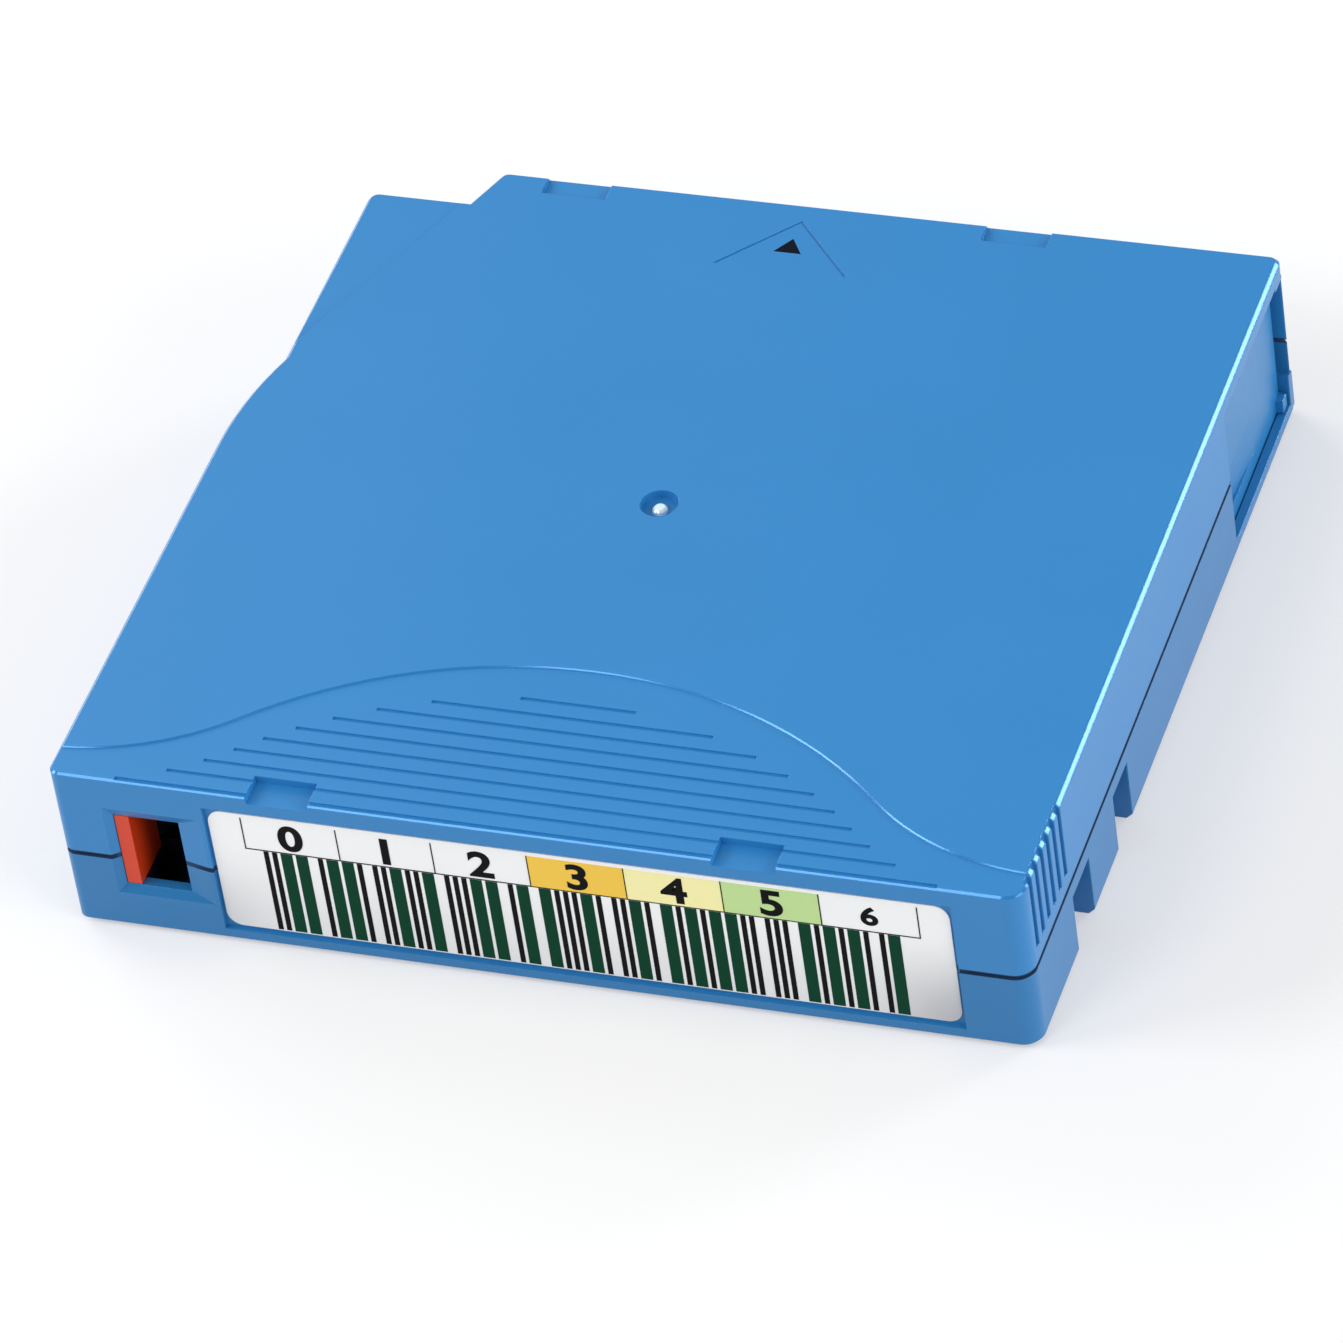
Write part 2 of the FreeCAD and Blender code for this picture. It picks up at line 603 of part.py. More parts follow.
def add_cradle(body, bottom, top):
    """A collar round one end of the pin, open towards the door."""
    inner = "pin_flange + cradle_gap"
    raise_tube(body, "cradle", PIN_X, PIN_Y, f"{inner} + cradle_wall", inner, bottom, top)
    cut_box(body, "cradle_mouth", f"{PIN_X} + pin_neck / 2", f"{DOOR_IN} + door_thickness",
            f"{PIN_Y} - {inner} - cradle_wall - door_gap", f"{PIN_Y} + {inner} + cradle_wall + door_gap",
            bottom, top)
    cut_box(body, "cradle_slit", f"{PIN_X} - cradle_slit", f"{PIN_X} + cradle_slit",
            PIN_Y, f"{PIN_Y} + {inner} + cradle_wall + door_gap", bottom, top)


def bell_geometry():
    """Centres, span and turning point of the bell, as expressions."""
    crest_y = f"({FRONT} + bell_reach - bell_crest)"
    flare_y = f"({FRONT} + bell_foot + bell_flare)"
    span = f"sqrt((bell_crest + bell_flare) ^ 2 - ({flare_y} - {crest_y}) ^ 2)"
    share = "bell_crest / (bell_crest + bell_flare)"
    return crest_y, flare_y, span, f"({span} * {share})", f"({crest_y} + ({flare_y} - {crest_y}) * {share})"


def cut_thumb_area(body):
    """The bell-shaped thumb area, and its grooves, each as long as the bell is wide there."""
    crest_y, flare_y, span, turn_x, turn_y = bell_geometry()
    foot_y = f"{FRONT} + bell_foot"
    sketch = new_sketch(body, "bell", "case_height - bell_recess")
    corners = [
        (f"bell_x - {span}", foot_y),
        (f"bell_x - {turn_x}", turn_y),
        (f"bell_x + {turn_x}", turn_y),
        (f"bell_x + {span}", foot_y),
        (f"bell_x + {span}", f"{FRONT} - {OVER}"),
        (f"bell_x - {span}", f"{FRONT} - {OVER}"),
    ]
    draw_loop(sketch, corners, {0: ("bell_flare", 1), 1: ("bell_crest", -1), 2: ("bell_flare", 1)})
    pocket(body, "bell", sketch, f"bell_recess + {OVER}", forward=True)
    radii = [value("bell_crest"), value("bell_flare")]

    def brink(edge):
        bowed = hasattr(edge.Curve, "Radius") and any(abs(edge.Curve.Radius - r) < 1e-6 for r in radii)
        return bowed and level_at("case_height")(edge)

    slope_edges(body, "bell_brink", brink, "bell_slope")
    grooves = new_sketch(body, "thumb_grooves", "case_height - bell_recess")
    for number in range(int(value("grip_count"))):
        middle = f"({FRONT} + grip_first - {number} * grip_pitch)"
        probe = f"({middle} + grip_shift)"
        crest = f"sqrt(bell_crest ^ 2 - ({probe} - {crest_y}) ^ 2)"
        flare = f"({span} - sqrt(bell_flare ^ 2 - ({flare_y} - {probe}) ^ 2))"
        half = f"(({probe} > {turn_y} ? {crest} : {flare}) - grip_inset)"
        draw_box(grooves, f"bell_x - {half}", f"bell_x + {half}",
                 f"{middle} - grip_groove / 2", f"{middle} + grip_groove / 2")
    pocket(body, "thumb_grooves", grooves, "grip_depth")


def cut_rear_corner(body):
    """The rear left corner falls away a little, in a shallow hollow, behind a straight slanting ridge."""
    across = "(ridge_side - waist_inset)"
    along = "(case_length - step_depth - ridge_start)"
    length = f"sqrt({across} ^ 2 + {along} ^ 2)"
    sketch = new_sketch(body, "rear_corner", f"-({FRONT} + ridge_start + {along} * ridge_crest / {length})",
                        "XZ_Plane")
    turn = FreeCAD.Rotation(FreeCAD.Vector(0, 1, 0), 1)
    sketch.AttachmentOffset = FreeCAD.Placement(vector("0", "0"), turn)
    sketch.setExpression("AttachmentOffset.Base.x", full(f"{WAIST_X} + {across} * ridge_crest / {length}"))
    sketch.setExpression("AttachmentOffset.Rotation.Angle", full(f"atan({along} / {across})"))
    middle = "(case_height - ridge_step - dish_radius)"
    far = f"({length} - ridge_crest)"
    corners = [
        ("-ridge_crest", f"{middle} + sqrt(dish_radius ^ 2 - ridge_crest ^ 2)"),
        (far, f"{middle} + sqrt(dish_radius ^ 2 - {far} ^ 2)"),
        (far, f"case_height + {OVER}"),
        ("-ridge_crest", f"case_height + {OVER}"),
    ]
    draw_loop(sketch, corners, {0: ("dish_radius", -1)})
    pocket(body, "rear_corner", sketch, f"{across} * {along} / {length} + {OVER}")


def cut_chevron(body):
    """A V that points to the drive end."""
    point = f"({HALF_L} - chevron_reach)"
    line = "chevron_line * chevron_fall / chevron_half"
    sketch = new_sketch(body, "chevron", "case_height")
    corners = [
        ("bell_x", point),
        ("bell_x - chevron_half", f"{point} - chevron_fall"),
        ("bell_x - chevron_half + chevron_line", f"{point} - chevron_fall"),
        ("bell_x", f"{point} - {line}"),
        ("bell_x + chevron_half - chevron_line", f"{point} - chevron_fall"),
        ("bell_x + chevron_half", f"{point} - chevron_fall"),
    ]
    draw_loop(sketch, corners)
    pocket(body, "chevron", sketch, "chevron_depth")


def cut_end_pockets(body):
    """Finger pockets at the label end and shallower nicks at the drive end."""
    for side, sign in (("left", "-"), ("right", "+")):
        middle = f"reel_x {sign} pocket_offset"
        cut_box(body, f"{side}_pocket", f"{middle} - pocket_width / 2", f"{middle} + pocket_width / 2",
                f"{FRONT} - {OVER}", f"{FRONT} + pocket_length",
                "case_height - pocket_drop", f"case_height + {OVER}")
        cut_box(body, f"{side}_nick", f"{middle} - nick_width / 2", f"{middle} + nick_width / 2",
                f"{HALF_L} - nick_length", f"{HALF_L} + {OVER}",
                "case_height - nick_drop", f"case_height + {OVER}")


def cut_side_flutes(body):
    """Upright finger flutes on the grip side, near the label end."""
    sketch = new_sketch(body, "flutes", "flute_foot")
    for number in range(int(value("flute_count"))):
        middle = f"{FRONT} + flute_first + {number} * flute_pitch"
        low = f"{middle} - flute_width / 2"
        high = f"{middle} + flute_width / 2"
        draw_box(sketch, f"{HALF_W} - flute_depth", f"{HALF_W} + {OVER}", low, high)
    pocket(body, "flutes", sketch, f"case_height + {OVER} - flute_foot", forward=True)


def cut_gate_dimple(body):
    bottom = "case_height - dimple_depth"
    cut_round(body, "dimple", "reel_x", "reel_y", "dimple_radius", bottom, f"case_height + {OVER}")
    raise_tube(body, "gate_nub", "reel_x", "reel_y", "gate_radius", None, bottom, f"{bottom} + gate_height")
    slope_edges(body, "gate_nub", level_at(f"{bottom} + gate_height"), "gate_slope")


def draw_cross(sketch, x, y, span, web):
    """A plus sign."""
    far = f"({span}) / 2"
    near = f"({web}) / 2"
    signs = [(1, 1), (-1, 1), (-1, -1), (1, -1)]
    corners = []
    for number, (across, along) in enumerate(signs):
        wide = (f"{x} + {across} * {far}", f"{y} + {along} * {near}")
        nook = (f"{x} + {across} * {near}", f"{y} + {along} * {near}")
        tall = (f"{x} + {across} * {near}", f"{y} + {along} * {far}")
        corners += [wide, nook, tall] if number % 2 == 0 else [tall, nook, wide]
    draw_loop(sketch, corners)


def top_shell():
    body = new_body("top_shell")
    case_block(body, "outline", "parting_height", "case_height")
    slope_edges(body, "rim", level_at("case_height"), "rim_slope")
    hollow(body, "parting_height", CEILING)
    for number, (x, y) in enumerate(BOSSES):
        raise_tube(body, f"boss_{number}", x, y, "boss_radius", None, "parting_height", CEILING)
        cut_round(body, f"pilot_{number}", x, y, "screw_radius + thread_gap",
                  "parting_height", f"screw_sink + screw_length + {OVER}")
    post = new_sketch(body, "post", f"{BRAKE_TOP} + brake_travel + seat_gap")
    draw_cross(post, "reel_x", "reel_y", "post_span", "post_web")
    pad(body, "post", post, f"{CEILING} - ({BRAKE_TOP} + brake_travel + seat_gap)")
    ring = "brake_spring_radius + brake_spring_wire + seat_gap"
    raise_tube(body, "spring_ring", "reel_x", "reel_y", f"{ring} + rib", ring, f"{CEILING} - rib", CEILING)
    raise_box(body, "tab_roof", f"{LEFT} + wall / 2", f"{WINDOW_X} + window_width + rib",
              f"{TAB_FRONT} + tab_depth / 2", f"{TAB_FRONT} + tab_depth / 2 + rib",
              f"{TAB_TOP} + tab_gap", CEILING)
    add_cradle(body, f"{CEILING} - cradle_height", CEILING)
    raise_box(body, "spring_seat", f"{SPRING_X} - door_spring_radius - door_spring_wire",
              f"{HALF_W} - wall / 2", f"{SPRING_SEAT} - rib", SPRING_SEAT,
              "door_spring_height - lug_height / 2", CEILING)
    cut_door_way(body, "parting_height", CEILING)
    raise_box(body, "bracket", f"{DOOR_OUT} + door_gap", HALF_W, f"{HALF_L} - bracket_length",
              f"{HALF_L} - end_strip", f"{CEILING} - bracket_drop", CEILING)
    cut_door_groove(body, CEILING, f"{CEILING} + door_groove")
    cut_label_bay(body)
    cut_window(body)
    cut_thumb_area(body)
    cut_rear_corner(body)
    cut_chevron(body)
    cut_end_pockets(body)
    cut_side_flutes(body)
    cut_gate_dimple(body)
    return body


def cut_picker_notches(body):
    """Notches in both sides, open below, where a library's picker takes hold; each has its own walls."""
    inner = f"{HALF_W} - notch_depth"
    for number, (start, length) in enumerate(NOTCHES):
        low = f"{FRONT} + {start}"
        high = f"{low} + {length}"
        for side, sign in (("left", "-"), ("right", "")):
            ends = [f"{sign}({inner} - rib)", f"{sign}({HALF_W} - wall / 2)"]
            cuts = [f"{sign}({inner})", f"{sign}({HALF_W} + {OVER})"]
            if sign:
                ends.reverse()
                cuts.reverse()
            name = f"{side}_notch_{number}"
            raise_box(body, f"{name}_box", *ends, f"{low} - rib", f"{high} + rib",
                      "floor_thickness / 2", "notch_height + rib")
            cut_box(body, name, *cuts, low, high, f"-{OVER}", "notch_height")


def cut_datum_holes(body):
    """Two locating holes in their bosses: a round one, and one drawn out along X."""
    y = f"({FRONT} + datum_front)"
    wide = "(datum_radius + datum_wall)"
    top = "datum_depth + datum_wall"
    left = "(-datum_x - datum_slot / 2)"
    right = "(-datum_x + datum_slot / 2)"
    raise_tube(body, "round_boss", "datum_x", y, wide, None, "floor_thickness / 2", top)
    cut_round(body, "round_hole", "datum_x", y, "datum_radius", "0", "datum_depth")
    sketch = new_sketch(body, "slot_boss", "floor_thickness / 2")
    draw_slot(sketch, left, right, y, wide)
    pad(body, "slot_boss", sketch, f"{top} - floor_thickness / 2")
    sketch = new_sketch(body, "slot_hole")
    draw_slot(sketch, left, right, y, "datum_radius")
    pocket(body, "slot_hole", sketch, "datum_depth", forward=True)


def bottom_shell():
    body = new_body("bottom_shell")
    shoulder = "parting_height - reveal_height"
    case_block(body, "lip", shoulder, "parting_height", "reveal_depth")
    case_block(body, "outline", "0", shoulder)
    slope_edges(body, "foot", level_at("0"), "foot_chamfer")
    hollow(body, "floor_thickness", f"parting_height + {OVER}")
    for number, (x, y) in enumerate(BOSSES):
        raise_tube(body, f"boss_{number}", x, y, "boss_radius", None, "floor_thickness / 2", "parting_height")
        cut_round(body, f"sink_{number}", x, y, "screw_head_radius + screw_gap", f"-{OVER}", "screw_sink")
        cut_round(body, f"shank_{number}", x, y, "screw_radius + screw_gap", "screw_sink",
                  f"parting_height + {OVER}")
    raise_tube(body, "seat_ring", "reel_x", "reel_y", "spindle_opening + seat_ring_width", "spindle_opening",
               "floor_thickness / 2", SEAT_TOP)
    cut_round(body, "spindle_opening", "reel_x", "reel_y", "spindle_opening", f"-{OVER}", SEAT_TOP)
    cut_picker_notches(body)
    cut_datum_holes(body)
    for number in range(3):
        x = f"{LEFT} + wall + rib / 2 + {number} * tab_rib_pitch"
        raise_box(body, f"tab_rib_{number}", x, f"{x} + rib", f"{INNER_FRONT} - wall / 2",
                  f"{TAB_FRONT} + tab_depth + tab_gap + rib", "floor_thickness / 2", f"{TAB_BOTTOM} - tab_gap")
    raise_box(body, "tab_fence", f"{LEFT} + wall / 2", f"{WINDOW_X} + window_width + rib",
              f"{TAB_FRONT} + tab_depth + tab_gap", f"{TAB_FRONT} + tab_depth + tab_gap + rib",
              "floor_thickness / 2", f"{TAB_BOTTOM} + tab_runner")
    add_cradle(body, "floor_thickness", "floor_thickness + cradle_height")
    raise_box(body, "strip_rib", f"{HALF_W} - strip_start", f"{HALF_W} - strip_start + strip_seat",
              f"{HALF_L} - wall - strip_thickness - 2 * door_gap - rib",
              f"{HALF_L} - wall - strip_thickness - 2 * door_gap",
              "floor_thickness / 2", "floor_thickness + strip_height * 2")
    cut_door_way(body, "floor_thickness", f"parting_height + {OVER}")
    raise_box(body, "guide_block", f"{DOOR_IN} - door_gap", HALF_W, f"{DOOR_END} + 2 * door_gap",
              f"{HALF_L} - end_strip / 2", "floor_thickness / 2", "guide_block_top")
    cut_door_groove(body, "floor_thickness - door_groove", "floor_thickness")
    cut_label_bay(body)
    cut_window(body)
    return body


def label():
    body = new_body("front_label")
    sketch = new_sketch(body, "paper", f"{HALF_L} - label_bay_depth", "XZ_Plane")
    half = "(label_bay_width / 2 - label_side_margin)"
    draw_box(sketch, f"label_bay_x - {half}", f"label_bay_x + {half}",
             "label_bay_bottom + label_edge_margin", f"{LABEL_BAY_TOP} - label_edge_margin")
    pad(body, "paper", sketch, "label_thickness")
    short = value("label_thickness") * 1.01
    round_edges(body, "corners", lambda edge: edge.Length < short, "label_round")
    return body


# ---------------------------------------------------------------- switch, screws, memory


def write_protect_tab():
    """A slider: a plate behind the wall, two runners, and a nib that stands in the window."""
    body = new_body("write_protect_tab")
    raise_box(body, "plate", TAB_LEFT, TAB_RIGHT, TAB_FRONT, f"{TAB_FRONT} + tab_plate", TAB_BOTTOM, TAB_TOP)
    raise_box(body, "nib", f"{TAB_RIGHT} - tab_nib", TAB_RIGHT, f"{TAB_FRONT} - tab_nib_reach",
              f"{TAB_FRONT} + tab_depth", TAB_BOTTOM, TAB_TOP)
    raise_box(body, "lower_runner", TAB_LEFT, TAB_RIGHT, TAB_FRONT, f"{TAB_FRONT} + tab_depth",
              TAB_BOTTOM, f"{TAB_BOTTOM} + tab_runner")
    raise_box(body, "upper_runner", TAB_LEFT, TAB_RIGHT, TAB_FRONT, f"{TAB_FRONT} + tab_depth / 2 - tab_gap",
              f"{TAB_TOP} - tab_runner", TAB_TOP)
    return body


def case_screws():
    """Four self-tapping screws, up through the bottom shell into the top one."""
    seat = value("screw_sink")
    head = Part.makeCylinder(value("screw_head_radius"), value("screw_head_height"),
                             FreeCAD.Vector(0, 0, seat - value("screw_head_height")))
    shank = Part.makeCylinder(value("screw_radius"), value("screw_length"), FreeCAD.Vector(0, 0, seat))
    half = value("screw_drive")
    corner = FreeCAD.Vector(-half, -half, seat - value("screw_head_height"))
    socket = Part.makeBox(half * 2, half * 2, half, corner)
    screw = head.fuse(shank).cut(socket)
    copies = [screw.translated(vector(x, y)) for x, y in BOSSES]
    return shaped("case_screws", Part.makeCompound(copies))


def memory_module():
    """The contactless memory: a small board that leans at 45 degrees, with its chip."""
    board = new_body("memory_board")
    sketch = new_sketch(board, "board")
    draw_box(sketch, "-board_width / 2", "board_width / 2", "-board_length / 2", "board_length / 2")
    pad(board, "board", sketch, "board_thickness")
    chip = new_body("memory_chip")
    sketch = new_sketch(chip, "chip", "board_thickness")
    draw_box(sketch, "-chip_size / 2", "chip_size / 2", "-chip_size / 2", "chip_size / 2")
    pad(chip, "chip", sketch, "chip_thickness")
    lean = FreeCAD.Rotation(FreeCAD.Vector(1, 0, 0), 45)
    for item in (board, chip):
        item.Placement = FreeCAD.Placement(FreeCAD.Vector(0, 0, 0), lean)
        stand_at(item, CHIP_X, CHIP_Y, "chip_height")
    return [board, chip]


# ---------------------------------------------------------------- reel and brake


def lathe(body, name, corners, cut=False):
    """Turn a half section, given as (radius, height) corners, about the body's Z axis."""
    sketch = new_sketch(body, name, "0", "XZ_Plane")
    draw_loop(sketch, corners)
    kind = "PartDesign::Groove" if cut else "PartDesign::Revolution"
    feature = body.newObject(kind, f"{name}_turned")
    feature.Profile = sketch
    feature.ReferenceAxis = (sketch, ["V_Axis"])
    feature.Angle = 360
    return settle(body, feature, -1 if cut else 1)


def cut_teeth(body, name, inner, outer, root, tip, count):
    """Radial V grooves between inner and outer, from the tip of the teeth to their root."""
    sketch = new_sketch(body, name, f"{inner} - {OVER} / 4", "YZ_Plane")
    half = f"({inner} * pi / {count} * groove_share)"
    draw_loop(sketch, [(f"-{half}", tip), ("0", root), (half, tip)])
    tooth = pocket(body, name, sketch, f"{outer} - ({inner}) + {OVER} / 2", forward=True)
    return spin_pattern(body, name, tooth, count)


def reel_hub():
    """The hub with its lower flange, drive teeth below and brake teeth inside."""
    body = new_body("reel_hub")
    lathe(body, "hub", [
        ("gear_outer", GEAR_TIP),
        ("gear_outer", FLANGE_BOTTOM),
        (FLANGE_RADIUS, FLANGE_BOTTOM),
        (FLANGE_RADIUS, FLANGE_TOP),
        ("hub_radius", FLANGE_TOP),
        ("hub_radius", COVER_BOTTOM),
        (HUB_BORE, COVER_BOTTOM),
        (HUB_BORE, HUB_FLOOR_TOP),
        ("brake_outer", HUB_FLOOR_TOP),
        ("brake_outer", BRAKE_RING_TOP),
        ("brake_inner", BRAKE_RING_TOP),
        ("brake_inner", HUB_FLOOR_TOP),
        ("0", HUB_FLOOR_TOP),
        ("0", FLANGE_TOP),
        ("gear_inner", FLANGE_TOP),
        ("gear_inner", GEAR_TIP),
    ])
    cut_teeth(body, "drive_teeth", "gear_inner", "gear_outer",
              f"{GEAR_TIP} + gear_tooth", GEAR_TIP, "gear_count")
    cut_teeth(body, "brake_teeth", "brake_inner", "brake_outer",
              f"{BRAKE_RING_TOP} - brake_tooth", BRAKE_RING_TOP, "gear_count")
    arm = cut_box(body, "arm_gap", "brake_inner - rib", "brake_outer + foot_gap",
                  "-(spider_arm / 2 + foot_gap)", "spider_arm / 2 + foot_gap",
                  HUB_FLOOR_TOP, f"{BRAKE_RING_TOP} + {OVER}")
    spin_pattern(body, "arm_gap", arm, "3")
    well = cut_box(body, "foot_well", "foot_inner - foot_gap", "foot_outer + foot_gap",
                   "-(foot_width / 2 + foot_gap)", "foot_width / 2 + foot_gap",
                   f"{GEAR_TIP} - {OVER}", HUB_FLOOR_TOP)
    spin_pattern(body, "foot_well", well, "3")
    stand_at(body, "reel_x", "reel_y")
    return body


def reel_top_flange():
    """The upper flange, welded to the hub, with a rim that centres it in the bore."""
    body = new_body("reel_top_flange")
    rim = f"{HUB_BORE} - foot_gap"
    lathe(body, "cover", [
        (f"{rim} - rib", f"{COVER_BOTTOM} - spigot"),
        (rim, f"{COVER_BOTTOM} - spigot"),
        (rim, COVER_BOTTOM),
        (FLANGE_RADIUS, COVER_BOTTOM),
        (FLANGE_RADIUS, f"{COVER_BOTTOM} + cover_thickness"),
        (f"{rim} - rib", f"{COVER_BOTTOM} + cover_thickness"),
    ])
    stand_at(body, "reel_x", "reel_y")
    return body


def tape_pack():
    """The wound tape: thousands of turns that make one ring."""
    body = new_body("tape_pack")
    lathe(body, "turns", [
        ("hub_radius + pack_gap", TAPE_BOTTOM),
        (PACK_RADIUS, TAPE_BOTTOM),
        (PACK_RADIUS, TAPE_TOP),
        ("hub_radius + pack_gap", TAPE_TOP),
    ])
    stand_at(body, "reel_x", "reel_y")
    return body


def reel_plate():
    """The steel disc that the drive's magnet pulls on."""
    body = new_body("reel_plate")
    bottom = f"{FLANGE_TOP} - disc_thickness"
    raise_tube(body, "disc", "0", "0", "gear_inner - disc_gap", "disc_bore", bottom, FLANGE_TOP)
    hole = cut_round(body, "rivet", "disc_hole_circle", "0", "disc_hole", bottom, FLANGE_TOP)
    spin_pattern(body, "rivet", hole, "3")
    stand_at(body, "reel_x", "reel_y")
    return body


def brake_button():
    """Teeth below that lock the hub, and a collar above that slides on the cross post."""
    body = new_body("brake_button")
    lathe(body, "button", [
        ("0", f"{SPIDER_TOP} + seat_gap"),
        ("pip_radius", f"{SPIDER_TOP} + seat_gap"),
        ("pip_radius", BRAKE_BOTTOM),
        ("brake_inner", BRAKE_BOTTOM),
        ("brake_inner", BRAKE_TIP),
        ("brake_outer", BRAKE_TIP),
        ("brake_outer", BRAKE_BOTTOM),
        ("brake_disc", BRAKE_BOTTOM),
        ("brake_disc", BRAKE_TOP),
        ("socket_radius", BRAKE_TOP),
        ("socket_radius", SOCKET_TOP),
        ("0", SOCKET_TOP),
    ])
    cut_teeth(body, "lock_teeth", "brake_inner", "brake_outer", BRAKE_BOTTOM, BRAKE_TIP, "gear_count")
    socket = new_sketch(body, "socket", BRAKE_TOP)
    draw_cross(socket, "0", "0", "post_span + 2 * post_gap", "post_web + 2 * post_gap")
    pocket(body, "socket", socket, f"{SOCKET_TOP} - ({BRAKE_TOP})", forward=True)
    stand_at(body, "reel_x", "reel_y")
    return body


def release_spider():
    """Three arms on the hub's web, each with a foot that reaches down among the drive teeth."""
    body = new_body("release_spider")
    raise_tube(body, "core", "0", "0", "spider_core", None, SPIDER_BOTTOM, SPIDER_TOP)
    arm = raise_box(body, "arm", "spider_core / 2", "foot_outer", "-spider_arm / 2", "spider_arm / 2",
                    SPIDER_BOTTOM, SPIDER_TOP)
    spin_pattern(body, "arm", arm, "3")
    foot = raise_box(body, "foot", "foot_inner", "foot_outer", "-foot_width / 2", "foot_width / 2",
                     f"{GEAR_TIP} + foot_gap", SPIDER_BOTTOM)
    spin_pattern(body, "foot", foot, "3")
    stand_at(body, "reel_x", "reel_y")
    return body


def coil(name, length):
    """An open coil spring that stands on the origin along +Z, in straight runs of square wire."""
    radius = value(f"{name}_radius")
    wire = value(f"{name}_wire")
    runs = value("coil_runs")
    last = int(value(f"{name}_turns") * runs)
    rise = value(length) - 2 * wire
    lift = FreeCAD.Vector(0, 0, wire)
    sections = []
    for number in range(last + 1):
        angle = math.tau * number / runs
        out = FreeCAD.Vector(math.cos(angle), math.sin(angle), 0)
        middle = out * radius + lift + FreeCAD.Vector(0, 0, rise * number / last)
        ring = [middle + out * wire, middle + lift, middle - out * wire, middle - lift]
        sections.append(Part.makePolygon(ring + ring[:1]))
    return shaped(name, Part.makeLoft(sections, True, True))


def brake_spring():
    spring = coil("brake_spring", f"{CEILING} - ({BRAKE_TOP}) - 2 * coil_gap")
    stand_at(spring, "reel_x", "reel_y", f"{BRAKE_TOP} + coil_gap")
    return spring


# ---------------------------------------------------------------- door, pin and tape end


def sliding_door():
    """A plate in two grooves, with a catch for the drive, a lug for its spring and a tapered scoop."""
    body = new_body("sliding_door")
    raise_box(body, "plate", DOOR_IN, DOOR_OUT, DOOR_TAIL, DOOR_END, DOOR_BOTTOM, DOOR_TOP)
    raise_box(body, "catch", f"{DOOR_OUT} - door_gap", f"{HALF_W} - door_gap * 2", f"{DOOR_END} - door_catch",
              DOOR_END, "floor_thickness + door_gap", "floor_thickness + door_gap + door_catch_height")
    raise_box(body, "lug", f"{SPRING_X} - door_spring_radius - door_spring_wire", f"{DOOR_IN} + door_gap",
              DOOR_TAIL, f"{DOOR_TAIL} + lug_length", "door_spring_height - lug_height / 2",
              "door_spring_height + lug_height / 2")
    scoop = new_sketch(body, "scoop", "floor_thickness + door_gap * 2 + door_catch_height")
    draw_loop(scoop, [
        (DOOR_OUT, f"{DOOR_WAY} + door_scoop"),
        (f"{DOOR_OUT} - door_scoop_depth", DOOR_WAY),
        (f"{DOOR_OUT} - door_scoop_depth", f"{DOOR_WAY} - seat_gap * 4"),
        (DOOR_OUT, f"{DOOR_WAY} - seat_gap * 4"),
    ])
    pocket(body, "scoop", scoop, "door_scoop_top - floor_thickness - door_gap * 2 - door_catch_height",
           forward=True)
    return body


def door_spring():
    spring = coil("door_spring", "door_spring_length - 2 * coil_gap")
    spring.Placement = FreeCAD.Placement(vector("0", "0"), FreeCAD.Rotation(FreeCAD.Vector(1, 0, 0), -90))
    stand_at(spring, SPRING_X, f"{SPRING_SEAT} + coil_gap", "door_spring_height")
    return spring


def leader_pin():
    """A waisted steel pin that the drive's grabber takes by its ends."""
    body = new_body("leader_pin")
    bottom = "floor_thickness + pin_end_gap"
    top = f"{CEILING} - pin_end_gap"
    lathe(body, "pin", [
        ("0", bottom),
        ("pin_flange", bottom),
        ("pin_flange", f"{bottom} + pin_flange_height"),
        ("pin_neck", f"{bottom} + pin_flange_height"),
        ("pin_neck", f"{top} - pin_flange_height"),
        ("pin_flange", f"{top} - pin_flange_height"),
        ("pin_flange", top),
        ("0", top),
    ])
    stand_at(body, PIN_X, PIN_Y)
    return body


def leader_route():
    """Where the tape leaves the pack on its straight run to the pin: the pack's angle and the radius."""
    radius = value(f"{PACK_RADIUS} + seat_gap + leader_thickness / 2")
    reach = vector(PIN_X, PIN_Y) - vector("reel_x", "reel_y")
    angle = math.atan2(reach.y, reach.x) - math.acos(radius / reach.Length)
    return angle, radius


def tape_clip():
    """A plastic clip that holds the end of the tape on the pin; its slot faces the pack."""
    body = new_body("tape_clip")
    bottom = f"{TAPE_BOTTOM} + clip_margin"
    top = f"{TAPE_TOP} - clip_margin"
    raise_tube(body, "clip", "0", "0", "clip_outer", "pin_neck + clip_gap", bottom, top)
    cut_box(body, "slot", "-clip_slot / 2", "clip_slot / 2", f"-(clip_outer + {OVER})", "0", bottom, top)
    angle, _ = leader_route()
    body.Placement = FreeCAD.Placement(vector("0", "0"), FreeCAD.Rotation(math.degrees(angle), 0, 0))
    stand_at(body, PIN_X, PIN_Y)
    return body


